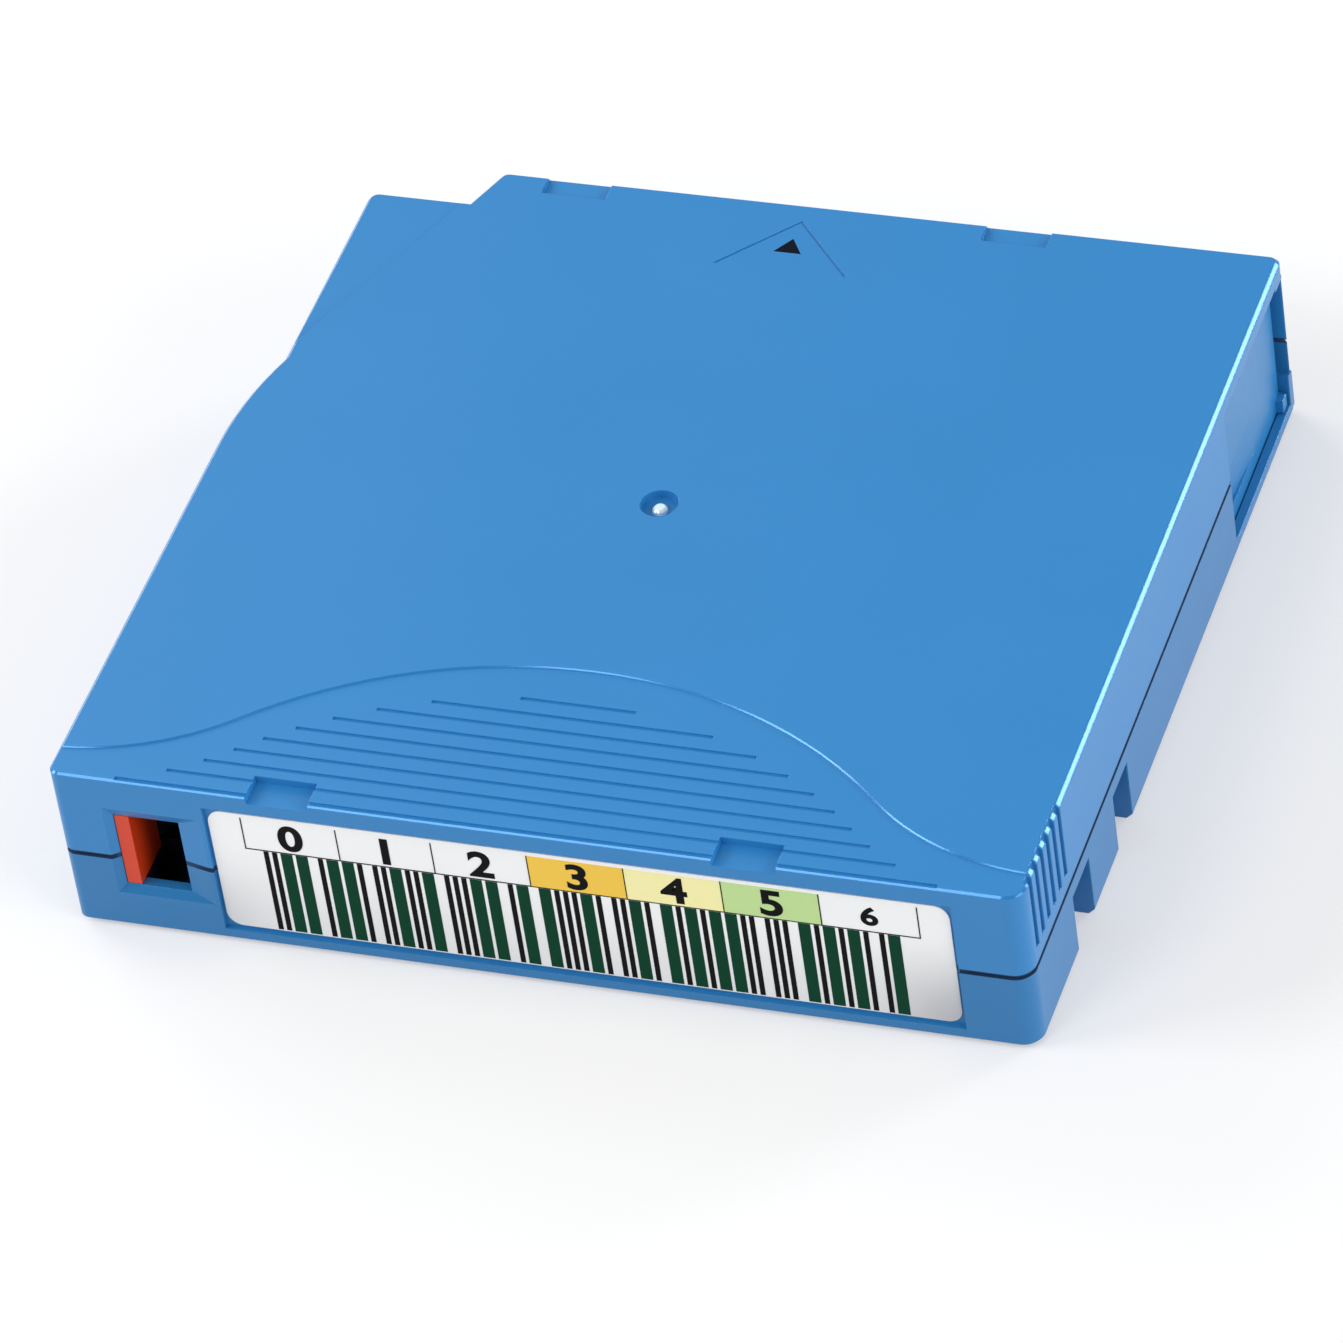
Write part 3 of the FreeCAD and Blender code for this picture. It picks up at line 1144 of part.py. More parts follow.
def tape_leader():
    """The free end of the tape: a straight run from the pin, then a stretch round the pack."""
    angle, radius = leader_route()
    wrap = math.radians(value("leader_wrap"))
    reel = vector("reel_x", "reel_y")
    outward = FreeCAD.Vector(math.cos(angle), math.sin(angle), 0)
    along = FreeCAD.Vector(-outward.y, outward.x, 0)
    half = value("leader_thickness") / 2
    touch = reel + outward * radius
    run = (vector(PIN_X, PIN_Y) - touch).dot(along) - value("pin_neck + clip_gap * 2")
    rims = []
    for side in (radius - half, radius + half):
        points = [
            reel + FreeCAD.Vector(math.cos(angle - wrap * part), math.sin(angle - wrap * part), 0) * side
            for part in (0, 0.5, 1)
        ]
        rims.append(points)
    (near, near_mid, near_end), (far, far_mid, far_end) = rims
    edges = [
        Part.LineSegment(near + along * run, near),
        Part.Arc(near, near_mid, near_end),
        Part.LineSegment(near_end, far_end),
        Part.Arc(far_end, far_mid, far),
        Part.LineSegment(far, far + along * run),
        Part.LineSegment(far + along * run, near + along * run),
    ]
    face = Part.Face(Part.Wire([edge.toShape() for edge in edges]))
    ribbon = face.extrude(FreeCAD.Vector(0, 0, value(f"{TAPE_TOP} - ({TAPE_BOTTOM})")))
    piece = shaped("tape_leader", ribbon)
    stand_at(piece, "0", "0", TAPE_BOTTOM)
    return piece


def pin_spring():
    """A folded steel strip: flat against the drive end, with an arm to each end of the pin."""
    back_y = value(f"{HALF_L} - wall - door_gap - strip_thickness / 2")
    start_x = value(f"{HALF_W} - strip_start")
    bend_x = value(f"{HALF_W} - strip_start + strip_seat")
    pin = vector(PIN_X, PIN_Y)
    rest_y = pin.y + value("pin_flange + strip_thickness")
    line = [
        FreeCAD.Vector(start_x, back_y, 0),
        FreeCAD.Vector(bend_x, back_y, 0),
        FreeCAD.Vector(pin.x - value("strip_thickness"), (back_y + rest_y) / 2, 0),
        FreeCAD.Vector(pin.x, rest_y, 0),
    ]
    path = Part.Wire([Part.LineSegment(a, b).toShape() for a, b in zip(line, line[1:])])
    outline = path.makeOffset2D(value("strip_thickness") / 2, 0, False, False, True)
    section = Part.Face(outline)
    low = value("floor_thickness + pin_end_gap")
    high = value(f"{CEILING} - pin_end_gap")
    leaf = section.extrude(FreeCAD.Vector(0, 0, high - low)).translated(FreeCAD.Vector(0, 0, low))
    arm = value("strip_height")
    gap = Part.makeBox(value("case_width"), value("case_length"), high - low - 2 * arm,
                       FreeCAD.Vector(bend_x, 0, low + arm))
    return shaped("pin_spring", leaf.cut(gap))


# ---------------------------------------------------------------- build and write


def build():
    pieces = [
        bottom_shell(),
        top_shell(),
        label(),
        write_protect_tab(),
        case_screws(),
        *memory_module(),
        reel_hub(),
        reel_top_flange(),
        reel_plate(),
        tape_pack(),
        brake_button(),
        release_spider(),
        brake_spring(),
        sliding_door(),
        door_spring(),
        leader_pin(),
        tape_clip(),
        tape_leader(),
        pin_spring(),
    ]
    DOC.recompute()
    return pieces


def check(pieces):
    for item in DOC.Objects:
        if {"Invalid", "Error"} & set(item.State):
            raise RuntimeError(f"{item.Label} failed to build: {item.State}")
    for piece in pieces:
        if piece.Shape.isNull() or not piece.Shape.isValid():
            raise RuntimeError(f"{piece.Label} has no valid solid")


def write(pieces):
    os.makedirs("parts", exist_ok=True)
    for piece in pieces:
        piece.Shape.exportStep(f"parts/{piece.Label}.step")
        solids = piece.Shape.Solids
        print(f"{piece.Label}: {len(solids)} solid(s), {sum(solid.Volume for solid in solids):.1f} mm3")


PIECES = build()
check(PIECES)
write(PIECES)
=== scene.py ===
# %% [markdown]
# # A half-inch data tape cartridge
#
# The real thing is a flat blue plastic case that holds one reel of tape. It has a paper label on its front
# end, a red write-protect switch beside the label, a thumb area on its lid and a sliding door in its side.
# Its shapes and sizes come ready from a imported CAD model. This file gives it its looks: a finish for each
# part, the print on the label and the lid, and the light and the table that it stands in.
# Every shape could be modelled again as a mesh. The CAD shapes are exact, though, so they stay, and what is
# made here is only what a mould or a lathe doesn't make: ink, grain, gloss and light.

# %% Load the CAD model
import json
import random

import bmesh
import bpy
from mathutils import Matrix, Vector


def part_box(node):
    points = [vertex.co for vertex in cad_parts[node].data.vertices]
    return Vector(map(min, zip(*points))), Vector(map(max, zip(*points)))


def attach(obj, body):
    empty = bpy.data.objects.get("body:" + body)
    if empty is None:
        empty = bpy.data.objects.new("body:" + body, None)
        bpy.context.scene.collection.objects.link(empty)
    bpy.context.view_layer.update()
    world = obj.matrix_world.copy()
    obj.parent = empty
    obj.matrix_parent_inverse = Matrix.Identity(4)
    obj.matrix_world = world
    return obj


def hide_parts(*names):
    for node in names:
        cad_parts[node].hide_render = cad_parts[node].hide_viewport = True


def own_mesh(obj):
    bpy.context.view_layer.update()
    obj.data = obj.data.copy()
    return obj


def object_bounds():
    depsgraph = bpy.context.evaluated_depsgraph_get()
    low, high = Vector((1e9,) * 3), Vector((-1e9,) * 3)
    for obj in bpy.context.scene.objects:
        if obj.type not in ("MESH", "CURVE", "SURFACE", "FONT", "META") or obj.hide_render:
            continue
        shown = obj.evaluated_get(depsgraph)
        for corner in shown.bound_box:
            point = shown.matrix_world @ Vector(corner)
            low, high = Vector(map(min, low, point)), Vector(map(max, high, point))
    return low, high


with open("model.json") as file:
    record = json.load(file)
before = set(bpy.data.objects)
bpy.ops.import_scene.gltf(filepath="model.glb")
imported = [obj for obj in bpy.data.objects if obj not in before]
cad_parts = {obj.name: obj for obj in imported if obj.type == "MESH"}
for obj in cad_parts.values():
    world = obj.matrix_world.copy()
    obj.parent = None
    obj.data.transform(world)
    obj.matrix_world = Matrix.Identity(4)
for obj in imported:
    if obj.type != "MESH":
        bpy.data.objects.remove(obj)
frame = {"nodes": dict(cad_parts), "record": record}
cad_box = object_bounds()
print("CAD box in metres:", [tuple(round(v, 4) for v in corner) for corner in cad_box])

# %% [markdown]
# ## The camera
#
# A product picture of a flat thing is taken with a long lens from well back, so that its sides stay almost
# parallel. A short lens close by would make the label end look twice as large as the far end. The camera
# could be aimed with a Track To constraint. Its three directions are written down instead, because they also
# hold the slight roll that makes the cartridge look as if it lies on a slope.

# %% Set up the camera
MM = 0.001
SENSOR = 36.0
FOCAL = 242.743
CAMERA_PLACE = Vector((289.8, -667.45, 642.36)) * MM
CAMERA_RIGHT = Vector((0.94609, 0.30156, -0.1182))
CAMERA_BACK = Vector((0.30135, -0.68578, 0.66249))

camera = bpy.data.objects.new("camera", bpy.data.cameras.new("camera"))
bpy.context.scene.collection.objects.link(camera)
bpy.context.scene.camera = camera
camera.data.sensor_width = SENSOR
camera.data.lens = FOCAL
camera.data.clip_start = 0.1
camera.data.clip_end = 10.0
camera_up = CAMERA_BACK.cross(CAMERA_RIGHT).normalized()
turn = Matrix((CAMERA_RIGHT.normalized(), camera_up, CAMERA_BACK.normalized())).transposed()
camera.matrix_world = Matrix.Translation(CAMERA_PLACE) @ turn.to_4x4()
print("camera:", FOCAL, "mm lens,", round(CAMERA_PLACE.length, 3), "m from the part")

# %% [markdown]
# ## A short way to write materials
#
# A material is a small program made of nodes. Nodes could be added one line at a time, but a finish needs
# dozens, and the sums get lost between the lines. So two small classes do the wiring. `Wire` stands for one
# output of a node, and adds Math nodes when it is added, multiplied or compared. `Finish` stands for one
# material: its `node` method adds any other node from its type, its settings and what goes into its sockets.

# %% Wires and finishes
class Wire:
    """One output of a node. Python sums on it become Math nodes."""

    def __init__(self, finish, socket):
        self.finish = finish
        self.socket = socket

    def sum(self, operation, left, right):
        return self.finish.node("ShaderNodeMath", {"operation": operation}, {0: left, 1: right})

    def __add__(self, other):
        return self.sum("ADD", self, other)

    def __radd__(self, other):
        return self.sum("ADD", other, self)

    def __sub__(self, other):
        return self.sum("SUBTRACT", self, other)

    def __rsub__(self, other):
        return self.sum("SUBTRACT", other, self)

    def __mul__(self, other):
        return self.sum("MULTIPLY", self, other)

    def __rmul__(self, other):
        return self.sum("MULTIPLY", other, self)

    def __truediv__(self, other):
        return self.sum("DIVIDE", self, other)

    def __rtruediv__(self, other):
        return self.sum("DIVIDE", other, self)

    def __lt__(self, other):
        return self.sum("LESS_THAN", self, other)

    def __gt__(self, other):
        return self.sum("GREATER_THAN", self, other)


class Finish:
    """One material, with a method that adds any node to it."""

    def __init__(self, name):
        self.material = bpy.data.materials.new(name)
        self.material.use_nodes = True
        self.tree = self.material.node_tree
        self.shader = self.tree.nodes["Principled BSDF"]

    def node(self, kind, settings, sockets, output=0):
        added = self.tree.nodes.new(kind)
        for name, value in settings.items():
            setattr(added, name, value)
        self.plug(added, sockets)
        return Wire(self, added.outputs[output])

    def plug(self, node, sockets):
        for name, value in sockets.items():
            if isinstance(value, Wire):
                self.tree.links.new(value.socket, node.inputs[name])
            else:
                node.inputs[name].default_value = value

    def coat(self, sockets):
        """Sets or links the sockets of the surface shader."""
        self.plug(self.shader, sockets)
        return self


print("finish kit ready")

# %% [markdown]
# ## Colours and noise
#
# Colours are written the way that a paint chart gives them, as red, green and blue from 0 to 255. Blender
# counts light instead, where half the number is far more than half as dark, so each is converted once here.
# Everything that changes over a surface starts from the point's place on the part, in metres. That place
# rides with the part, so the grain stays put when a reel turns or a door slides.

# %% Colour and noise helpers
def shade(red, green, blue):
    """A paint chart colour as the light that Blender counts in."""
    light = [((v / 255 + 0.055) / 1.055) ** 2.4 if v > 10 else v / 255 / 12.92
             for v in (red, green, blue)]
    return (*light, 1.0)


def place(finish):
    """The point on the part, in metres."""
    return finish.node("ShaderNodeTexCoord", {}, {}, output="Object")


def axis(finish, spot, letter):
    """One coordinate of a point."""
    return finish.node("ShaderNodeSeparateXYZ", {}, {"Vector": spot}, output=letter)


def noise(finish, spot, size, detail=2.0, roughness=0.5):
    """Smooth random values from 0 to 1, whose spots are about this many metres across."""
    sockets = {"Vector": spot, "Scale": 1 / size, "Detail": detail, "Roughness": roughness}
    return finish.node("ShaderNodeTexNoise", {}, sockets, output="Fac")


def blend(finish, amount, first, second):
    """The first colour where amount is 0, and the second where it is 1."""
    sockets = {0: amount, 6: first, 7: second}
    return finish.node("ShaderNodeMix", {"data_type": "RGBA"}, sockets, output=2)


def soft_step(finish, value, low, high):
    """0 below low, 1 above high, and a smooth slope between."""
    sockets = {"Value": value, "From Min": low, "From Max": high}
    return finish.node("ShaderNodeMapRange", {"interpolation_type": "SMOOTHSTEP"}, sockets)


def relief(finish, height, depth, before=None):
    """Bumps as deep as depth, in metres, on top of the ones before."""
    sockets = {"Height": height, "Distance": depth}
    if before is not None:
        sockets["Normal"] = before
    return finish.node("ShaderNodeBump", {}, sockets)


print("blue as light:", [round(v, 3) for v in shade(60, 132, 194)[:3]])

# %% [markdown]
# ## Moulded plastic
#
# The case, the switch and the inner parts are injection moulded. Such a surface is never perfectly even.
# The mould is taken to be spark-eroded, which leaves a grain a few tenths of a millimetre across and less
# than a hundredth deep, and the colour drifts by a few percent where the plastic flowed. A plain colour with
# one roughness would look like a toy on a screen. So the grain is a bump, and the drift and the gloss are
# noise, each at its own scale.
# No mould has knife-sharp corners either. A Bevel node bends the light round each edge as if it had a small
# radius, and a larger one along the door side. The rims are so thin that their bright lines need help.
# `slope` is 1 where a face leans at 45 degrees and 0 on flats and walls, and it makes sloping faces smoother
# and a little metallic. That only stands in for the light that they catch.

# %% Moulded plastic
GRAIN = 0.35 * MM
DRIFT = 22.0 * MM
EDGE_RADIUS = 0.06 * MM
RIM_EXTRA = 0.24 * MM
RIM_WIDTH = 0.8 * MM
POLISH = 0.2
WALL_POLISH = 0.08
RIM_SHINE = 0.2
BEVEL_SAMPLES = 8
GLOSS_SHIFT = 0.04
CLOUD_GLOSS = 0.05
GRAIN_GLOSS = 0.04
PLASTIC_IOR = 1.49


def moulded(name, colour, roughness, grain_depth=0.006 * MM, drift=0.06):
    """A spark-eroded plastic of one colour. Returns its finish, place, colour, gloss and slope."""
    finish = Finish(name)
    spot = place(finish)
    cloud = noise(finish, spot, DRIFT, detail=3.0)
    darker = tuple(v * (1 - drift) for v in colour[:3]) + (1.0,)
    lighter = tuple(min(v * (1 + drift), 1.0) for v in colour[:3]) + (1.0,)
    tint = blend(finish, cloud, darker, lighter)
    grain = noise(finish, spot, GRAIN, detail=3.0, roughness=0.6)
    radius = EDGE_RADIUS + RIM_EXTRA * (axis(finish, spot, "X") > cad_box[1].x - RIM_WIDTH)
    rounded = finish.node("ShaderNodeBevel", {"samples": BEVEL_SAMPLES}, {"Radius": radius})
    up = axis(finish, rounded, "Z")
    wall = 1 - up * up
    slope = 4 * up * up * wall
    gloss = roughness - GLOSS_SHIFT + CLOUD_GLOSS * cloud + GRAIN_GLOSS * grain
    gloss = gloss - POLISH * slope - WALL_POLISH * wall
    normal = relief(finish, grain, grain_depth, rounded)
    finish.coat({"Base Color": tint, "Roughness": gloss, "Metallic": RIM_SHINE * slope})
    finish.coat({"Normal": normal, "IOR": PLASTIC_IOR})
    return finish, spot, tint, gloss, slope


SIMPLE_MOULDINGS = {
    "switch_red": (shade(216, 60, 20), 0.42),
    "reel_white": (shade(226, 226, 220), 0.46),
    "brake_white": (shade(232, 231, 222), 0.38),
    "spider_grey": (shade(140, 143, 148), 0.44),
    "clip_black": (shade(34, 34, 36), 0.4),
    "chip_black": (shade(28, 28, 30), 0.5),
}
finishes = {name: moulded(name, *values)[0] for name, values in SIMPLE_MOULDINGS.items()}
print("moulded finishes:", sorted(finishes))

# %% [markdown]
# ## The blue case and its marks
#
# The case is the same moulded plastic in blue, with two marks. A small triangle in navy ink near the drive
# end shows which end goes in first. In the middle is a dimple with a shiny nub, taken to be the place where
# the plastic was injected, and drawn pale as a painted highlight. A printed mark could be a thin mesh that
# lies on the lid. It is worked out from the point's place instead, with one straight line for each edge of the
# triangle, so nothing stands proud of the lid and the ink has the lid's own grain.

# %% The arrow and the gate nub
LID_HEIGHT = cad_box[1].z
ARROW_TIP = Vector((-0.80, 45.0)) * MM
ARROW_BASE = 42.6 * MM
ARROW_HALF = 1.58 * MM
GATE = Vector((-2.0, 0.4)) * MM
GATE_RADIUS = 0.85 * MM
EDGE = 0.03 * MM
WALL_DEPTH = Vector((4.2, 1.75, 1.75)) * MM
STEP = Vector((16.4, 5.7)) * MM
SEAM_HEIGHT = 9.8 * MM
SEAM_WIDTH = 0.5 * MM
SEAM_START = (0.03 * MM, 0.01 * MM)
SEAM_RISE = 0.16 * MM
SEAM_FADE = 0.08 * MM
LID_SKIN = 0.1 * MM
DIMPLE_DEPTH = 1.5 * MM


def arrow_ink(finish, spot):
    """1 inside the printed triangle and 0 outside it."""
    x, y, z = (axis(finish, spot, letter) for letter in "XYZ")
    across = finish.node("ShaderNodeMath", {"operation": "ABSOLUTE"}, {0: x - ARROW_TIP.x})
    slope = ARROW_HALF / (ARROW_TIP.y - ARROW_BASE)
    sides = soft_step(finish, (ARROW_TIP.y - y) * slope - across, -EDGE, EDGE)
    base = soft_step(finish, y - ARROW_BASE, -EDGE, EDGE)
    on_lid = z > LID_HEIGHT - LID_SKIN
    return sides * base * on_lid


def gate_nub(finish, spot):
    """1 on the nub in the middle of the dimple and 0 elsewhere."""
    centre = (GATE.x, GATE.y, 0.0)
    flat = finish.node("ShaderNodeVectorMath", {"operation": "MULTIPLY"}, {0: spot, 1: (1.0, 1.0, 0.0)})
    sockets = {0: flat, 1: centre}
    reach = finish.node("ShaderNodeVectorMath", {"operation": "DISTANCE"}, sockets, output="Value")
    return (reach < GATE_RADIUS) * (axis(finish, spot, "Z") > LID_HEIGHT - DIMPLE_DEPTH)


def inside_walls(finish, spot):
    """1 on the faces that look into the closed case and 0 on its outside."""
    low, high = cad_box
    mask = None
    for number, letter in enumerate("XYZ"):
        value = axis(finish, spot, letter)
        depth = WALL_DEPTH[number]
        between = (value > low[number] + depth) * (value < high[number] - depth)
        mask = between if mask is None else mask * between
    beside = axis(finish, spot, "X") < low.x + STEP.x + WALL_DEPTH.y
    behind = axis(finish, spot, "Y") > high.y - STEP.y - WALL_DEPTH.y
    return mask * (1 - beside * behind)


def seam_shadow(finish, spot):
    """1 in the groove between the two halves of the case, to draw the shadow that it holds."""
    z = axis(finish, spot, "Z")
    above = soft_step(finish, z, SEAM_HEIGHT - SEAM_START[0], SEAM_HEIGHT - SEAM_START[1])
    below = soft_step(finish, SEAM_HEIGHT + SEAM_WIDTH + SEAM_RISE - z, 0.0, SEAM_FADE)
    return above * below


print("arrow:", round(2 * ARROW_HALF / MM, 2), "x", round((ARROW_TIP.y - ARROW_BASE) / MM, 2), "mm")

# %% [markdown]
# ## Three blues
#
# The lid, the lower half and the door could share one blue, as they are one plastic. Lamps alone didn't give
# the lower half and the door the darker tone that they should have, so each has its own darker blue, which is
# painted shade. The seam and the inside of the case are darkened in the same way, in place of shadow.

# %% Blue case
CASE_BLUE = shade(40, 127, 191)
# The lower half and the door are painted shade: darker blues for the weaker light that falls on them.
LOWER_SHADED_BLUE = shade(36, 117, 176)
DOOR_SHADED_BLUE = shade(38, 123, 184)
INSIDE_SHADOW_BLUE = shade(6, 18, 30)
SEAM_SHADOW_BLUE = shade(12, 52, 92)
ARROW_NAVY = shade(8, 14, 38)
# The nub's pale colour is a painted highlight.
GATE_HIGHLIGHT_PALE = shade(214, 234, 244)
CASE_ROUGHNESS = 0.42
CASE_DRIFT = 0.03
INK_METAL = 0.85
NUB_SHINE = 0.3
SEAM_MATT = 0.45


def case_half(name, colour):
    """The case's plastic in this colour, with painted shadow inside and in the seam, and its two marks.

    The ink is made part metallic only to keep the plastic's pale sheen off it.
    """
    half, spot, tint, gloss, slope = moulded(name, colour, CASE_ROUGHNESS, drift=CASE_DRIFT)
    ink = arrow_ink(half, spot)
    nub = gate_nub(half, spot)
    # Painted shadow: the inside of the case goes near black and the seam dark blue.
    tint = blend(half, inside_walls(half, spot), tint, INSIDE_SHADOW_BLUE)
    seam = seam_shadow(half, spot)
    tint = blend(half, seam, tint, SEAM_SHADOW_BLUE)
    tint = blend(half, nub, blend(half, ink, tint, ARROW_NAVY), GATE_HIGHLIGHT_PALE)
    gloss = gloss - NUB_SHINE * nub + SEAM_MATT * seam
    metal = INK_METAL * ink + RIM_SHINE * slope
    half.coat({"Base Color": tint, "Roughness": gloss, "Metallic": metal})
    return half


finishes["case_blue"] = case_half("case_blue", CASE_BLUE)
finishes["case_blue_lower_shaded"] = case_half("case_blue_lower_shaded", LOWER_SHADED_BLUE)
finishes["door_blue_shaded"] = moulded("door_blue_shaded", DOOR_SHADED_BLUE, CASE_ROUGHNESS, drift=CASE_DRIFT)[0]
print("case blue:", [round(v, 3) for v in CASE_BLUE[:3]])

# %% [markdown]
# ## Label paper
#
# The label is taken to be coated white paper under a clear laminate. Seen close by, neither is even: the
# fibres change the paper's gloss, and the inks on it show faint darker threads. The laminate has a gloss of
# its own, which a coat layer over the shader gives. A single glossy white would look like enamel. The paper
# is also greyed towards its lower edge and its ends, which stands in for the way that light falls off there.

# %% Label paper
SHADE_HEIGHT = 0.8
SHADE_LEFT = 7 * MM
SHADE_RIGHT = 12 * MM
SHADE_BELOW, SHADE_AT_LEFT, SHADE_AT_RIGHT = 0.3, 0.25, 0.7
FIBRE = 0.5 * MM
FIBRE_STRETCH = (0.35, 1.0, 1.0)
FILM_WAVE = 6.0 * MM
FILM_DEPTH = 0.004 * MM
MOTTLE = 0.03


def edge_shade(finish, spot):
    """0 on most of the label, and up to 1 towards its lower edge and its two ends."""
    low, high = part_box("front_label")
    top = low.z + SHADE_HEIGHT * (high.z - low.z)
    fall = 1 - soft_step(finish, axis(finish, spot, "Z"), low.z, top)
    x = axis(finish, spot, "X")
    left = 1 - soft_step(finish, x, low.x, low.x + SHADE_LEFT)
    right = soft_step(finish, x, high.x - SHADE_RIGHT, high.x)
    return fall * (SHADE_BELOW + SHADE_AT_LEFT * left + SHADE_AT_RIGHT * right)


def laminated(name, colour, shine, shaded=None):
    """Bare paper that is shaded to a second colour, or print, under a film that ink dulls."""
    finish = Finish(name)
    spot = place(finish)
    long_spot = finish.node("ShaderNodeMapping", {}, {"Vector": spot, "Scale": FIBRE_STRETCH})
    fibre = noise(finish, long_spot, FIBRE, detail=4.0, roughness=0.7)
    if shaded is None:
        darker = tuple(v * (1 - MOTTLE) for v in colour[:3]) + (1.0,)
        tint = blend(finish, fibre, darker, colour)
    else:
        tint = blend(finish, edge_shade(finish, spot), colour, shaded)
    gloss = 0.38 + 0.14 * fibre
    normal = relief(finish, noise(finish, spot, FILM_WAVE), FILM_DEPTH)
    finish.coat({"Base Color": tint, "Roughness": gloss, "Normal": normal})
    finish.coat({"Specular IOR Level": 0.5 * shine})
    finish.coat({"Coat Weight": 0.3 * shine, "Coat Roughness": 0.12})
    return finish


LABEL_COLOURS = {
    "label_paper": (shade(250, 250, 250), 1.0, shade(186, 187, 190)),
    "ink_black": (shade(12, 12, 14), 0.1),
    "ink_green": (shade(6, 62, 42), 0.1),
    "ink_amber": (shade(250, 204, 74), 0.5),
    "ink_cream": (shade(254, 246, 178), 0.5),
    "ink_lime": (shade(196, 226, 152), 0.5),
}
for name, values in LABEL_COLOURS.items():
    finishes[name] = laminated(name, *values)
print("label finishes:", list(LABEL_COLOURS))

# %% [markdown]
# ## Metals
#
# Screws, springs, the leader pin and the drive disc are steel. Metal shows almost nothing but reflections,
# so its finish lies in how it was made: drawn wire has lines along it and a turned disc has rings. Both are
# very fine, so they go into the roughness and a shallow bump, and hardly into the colour.

# %% Steel
REEL_AXIS = GATE
DRAWN_LINE = 0.12 * MM
LINE_DEPTH = 0.003 * MM
STAIN = 4.0 * MM
STAINED = 0.9


def from_axis(finish, spot):
    """Distance from the reel's axis, in metres."""
    flat = finish.node("ShaderNodeVectorMath", {"operation": "MULTIPLY"}, {0: spot, 1: (1.0, 1.0, 0.0)})
    sockets = {0: flat, 1: (REEL_AXIS.x, REEL_AXIS.y, 0.0)}
    return finish.node("ShaderNodeVectorMath", {"operation": "DISTANCE"}, sockets, output="Value")


def steel(name, colour, roughness, stretch):
    """Bright steel whose fine lines are drawn out by stretch."""
    finish = Finish(name)
    spot = place(finish)
    drawn = finish.node("ShaderNodeMapping", {}, {"Vector": spot, "Scale": stretch})
    lines = noise(finish, drawn, DRAWN_LINE, detail=3.0, roughness=0.6)
    stain = noise(finish, spot, STAIN, detail=2.0)
    tint = blend(finish, stain, tuple(v * STAINED for v in colour[:3]) + (1.0,), colour)
    gloss = roughness - 0.06 + 0.12 * lines
    normal = relief(finish, lines, LINE_DEPTH)
    finish.coat({"Base Color": tint, "Metallic": 1.0, "Roughness": gloss, "Normal": normal})
    return finish


finishes["screw_steel"] = steel("screw_steel", shade(150, 150, 154), 0.34, (1.0, 1.0, 0.1))
finishes["spring_steel"] = steel("spring_steel", shade(176, 176, 180), 0.26, (0.3, 0.3, 1.0))
finishes["pin_steel"] = steel("pin_steel", shade(206, 206, 208), 0.2, (1.0, 1.0, 0.2))
print("steel finishes: screw, spring and pin")

# %% [markdown]
# ## The reel's own finishes
#
# Three things on the reel are round about one axis. The drive disc was turned and lapped, the clear flange
# was moulded from its middle outwards, and the tape shows the edges of a thousand turns. Noise in three
# directions would give them spots. Noise along the distance from the axis gives rings instead.

# %% Rings about the reel's axis
def ringed(name, colour, pitch, depth, sockets, contrast=0.15):
    """A surface with fine rings about the reel's axis."""
    finish = Finish(name)
    spot = place(finish)
    reach = from_axis(finish, spot)
    ring = finish.node("ShaderNodeCombineXYZ", {}, {"X": reach, "Y": axis(finish, spot, "Z") * 0.2})
    rings = noise(finish, ring, pitch, detail=3.0, roughness=0.7)
    tint = blend(finish, rings, tuple(v * (1 - contrast) for v in colour[:3]) + (1.0,), colour)
    gloss = sockets.pop("Roughness") + 0.1 * rings
    normal = relief(finish, rings, depth)
    finish.coat({"Base Color": tint, "Roughness": gloss, "Normal": normal, **sockets})
    return finish


finishes["disc_steel"] = ringed(
    "disc_steel", shade(190, 190, 194), 0.25 * MM, 0.004 * MM, {"Roughness": 0.22, "Metallic": 1.0})
finishes["flange_clear"] = ringed(
    "flange_clear", shade(214, 216, 216), 5.0 * MM, 0.01 * MM, {"Roughness": 0.2}, contrast=0.05)
finishes["tape_film"] = ringed(
    "tape_film", shade(58, 44, 38), 0.3 * MM, 0.01 * MM, {"Roughness": 0.24}, contrast=0.45)
print("ringed finishes: disc, flange and tape")

# %% [markdown]
# ## The memory board
#
# Beside the reel sits a tiny circuit board that a drive reads by radio. Its green solder resist covers a
# copper loop that serves as aerial, which shows as lighter square rings. A texture of rings is drawn with a
# wave on the larger of the two distances from the board's middle.

# %% Board green
low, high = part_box("memory_board")
board_middle = (low + high) / 2
BOARD_GREEN = shade(20, 92, 52)
BOARD_COPPER = shade(74, 146, 78)
TRACK_PITCH = 0.5 * MM
TRACK_DEPTH = 0.02 * MM

board = Finish("board_green")
spot = place(board)
aside = board.node("ShaderNodeVectorMath", {"operation": "SUBTRACT"}, {0: spot, 1: tuple(board_middle)})
apart = board.node("ShaderNodeVectorMath", {"operation": "ABSOLUTE"}, {0: aside})
wide = axis(board, apart, "X")
tall = axis(board, apart, "Z")
square = board.node("ShaderNodeMath", {"operation": "MAXIMUM"}, {0: wide, 1: tall})
beat = board.node("ShaderNodeMath", {"operation": "FRACT"}, {0: square / TRACK_PITCH})
track = soft_step(board, beat, 0.45, 0.55)
board.coat({"Base Color": blend(board, track, BOARD_GREEN, BOARD_COPPER)})
board.coat({"Roughness": 0.3 + 0.1 * track, "Normal": relief(board, track, TRACK_DEPTH)})
finishes["board_green"] = board
print("memory board:", [round(v / MM, 1) for v in high - low], "mm")

# %% [markdown]
# ## Dress the CAD parts
#
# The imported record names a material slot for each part, and a node's mesh has one Blender slot for each. The
# finish goes into those slots, and the mesh itself isn't touched. Any slot that is left over would show, so
# the cell stops if a name has no finish.

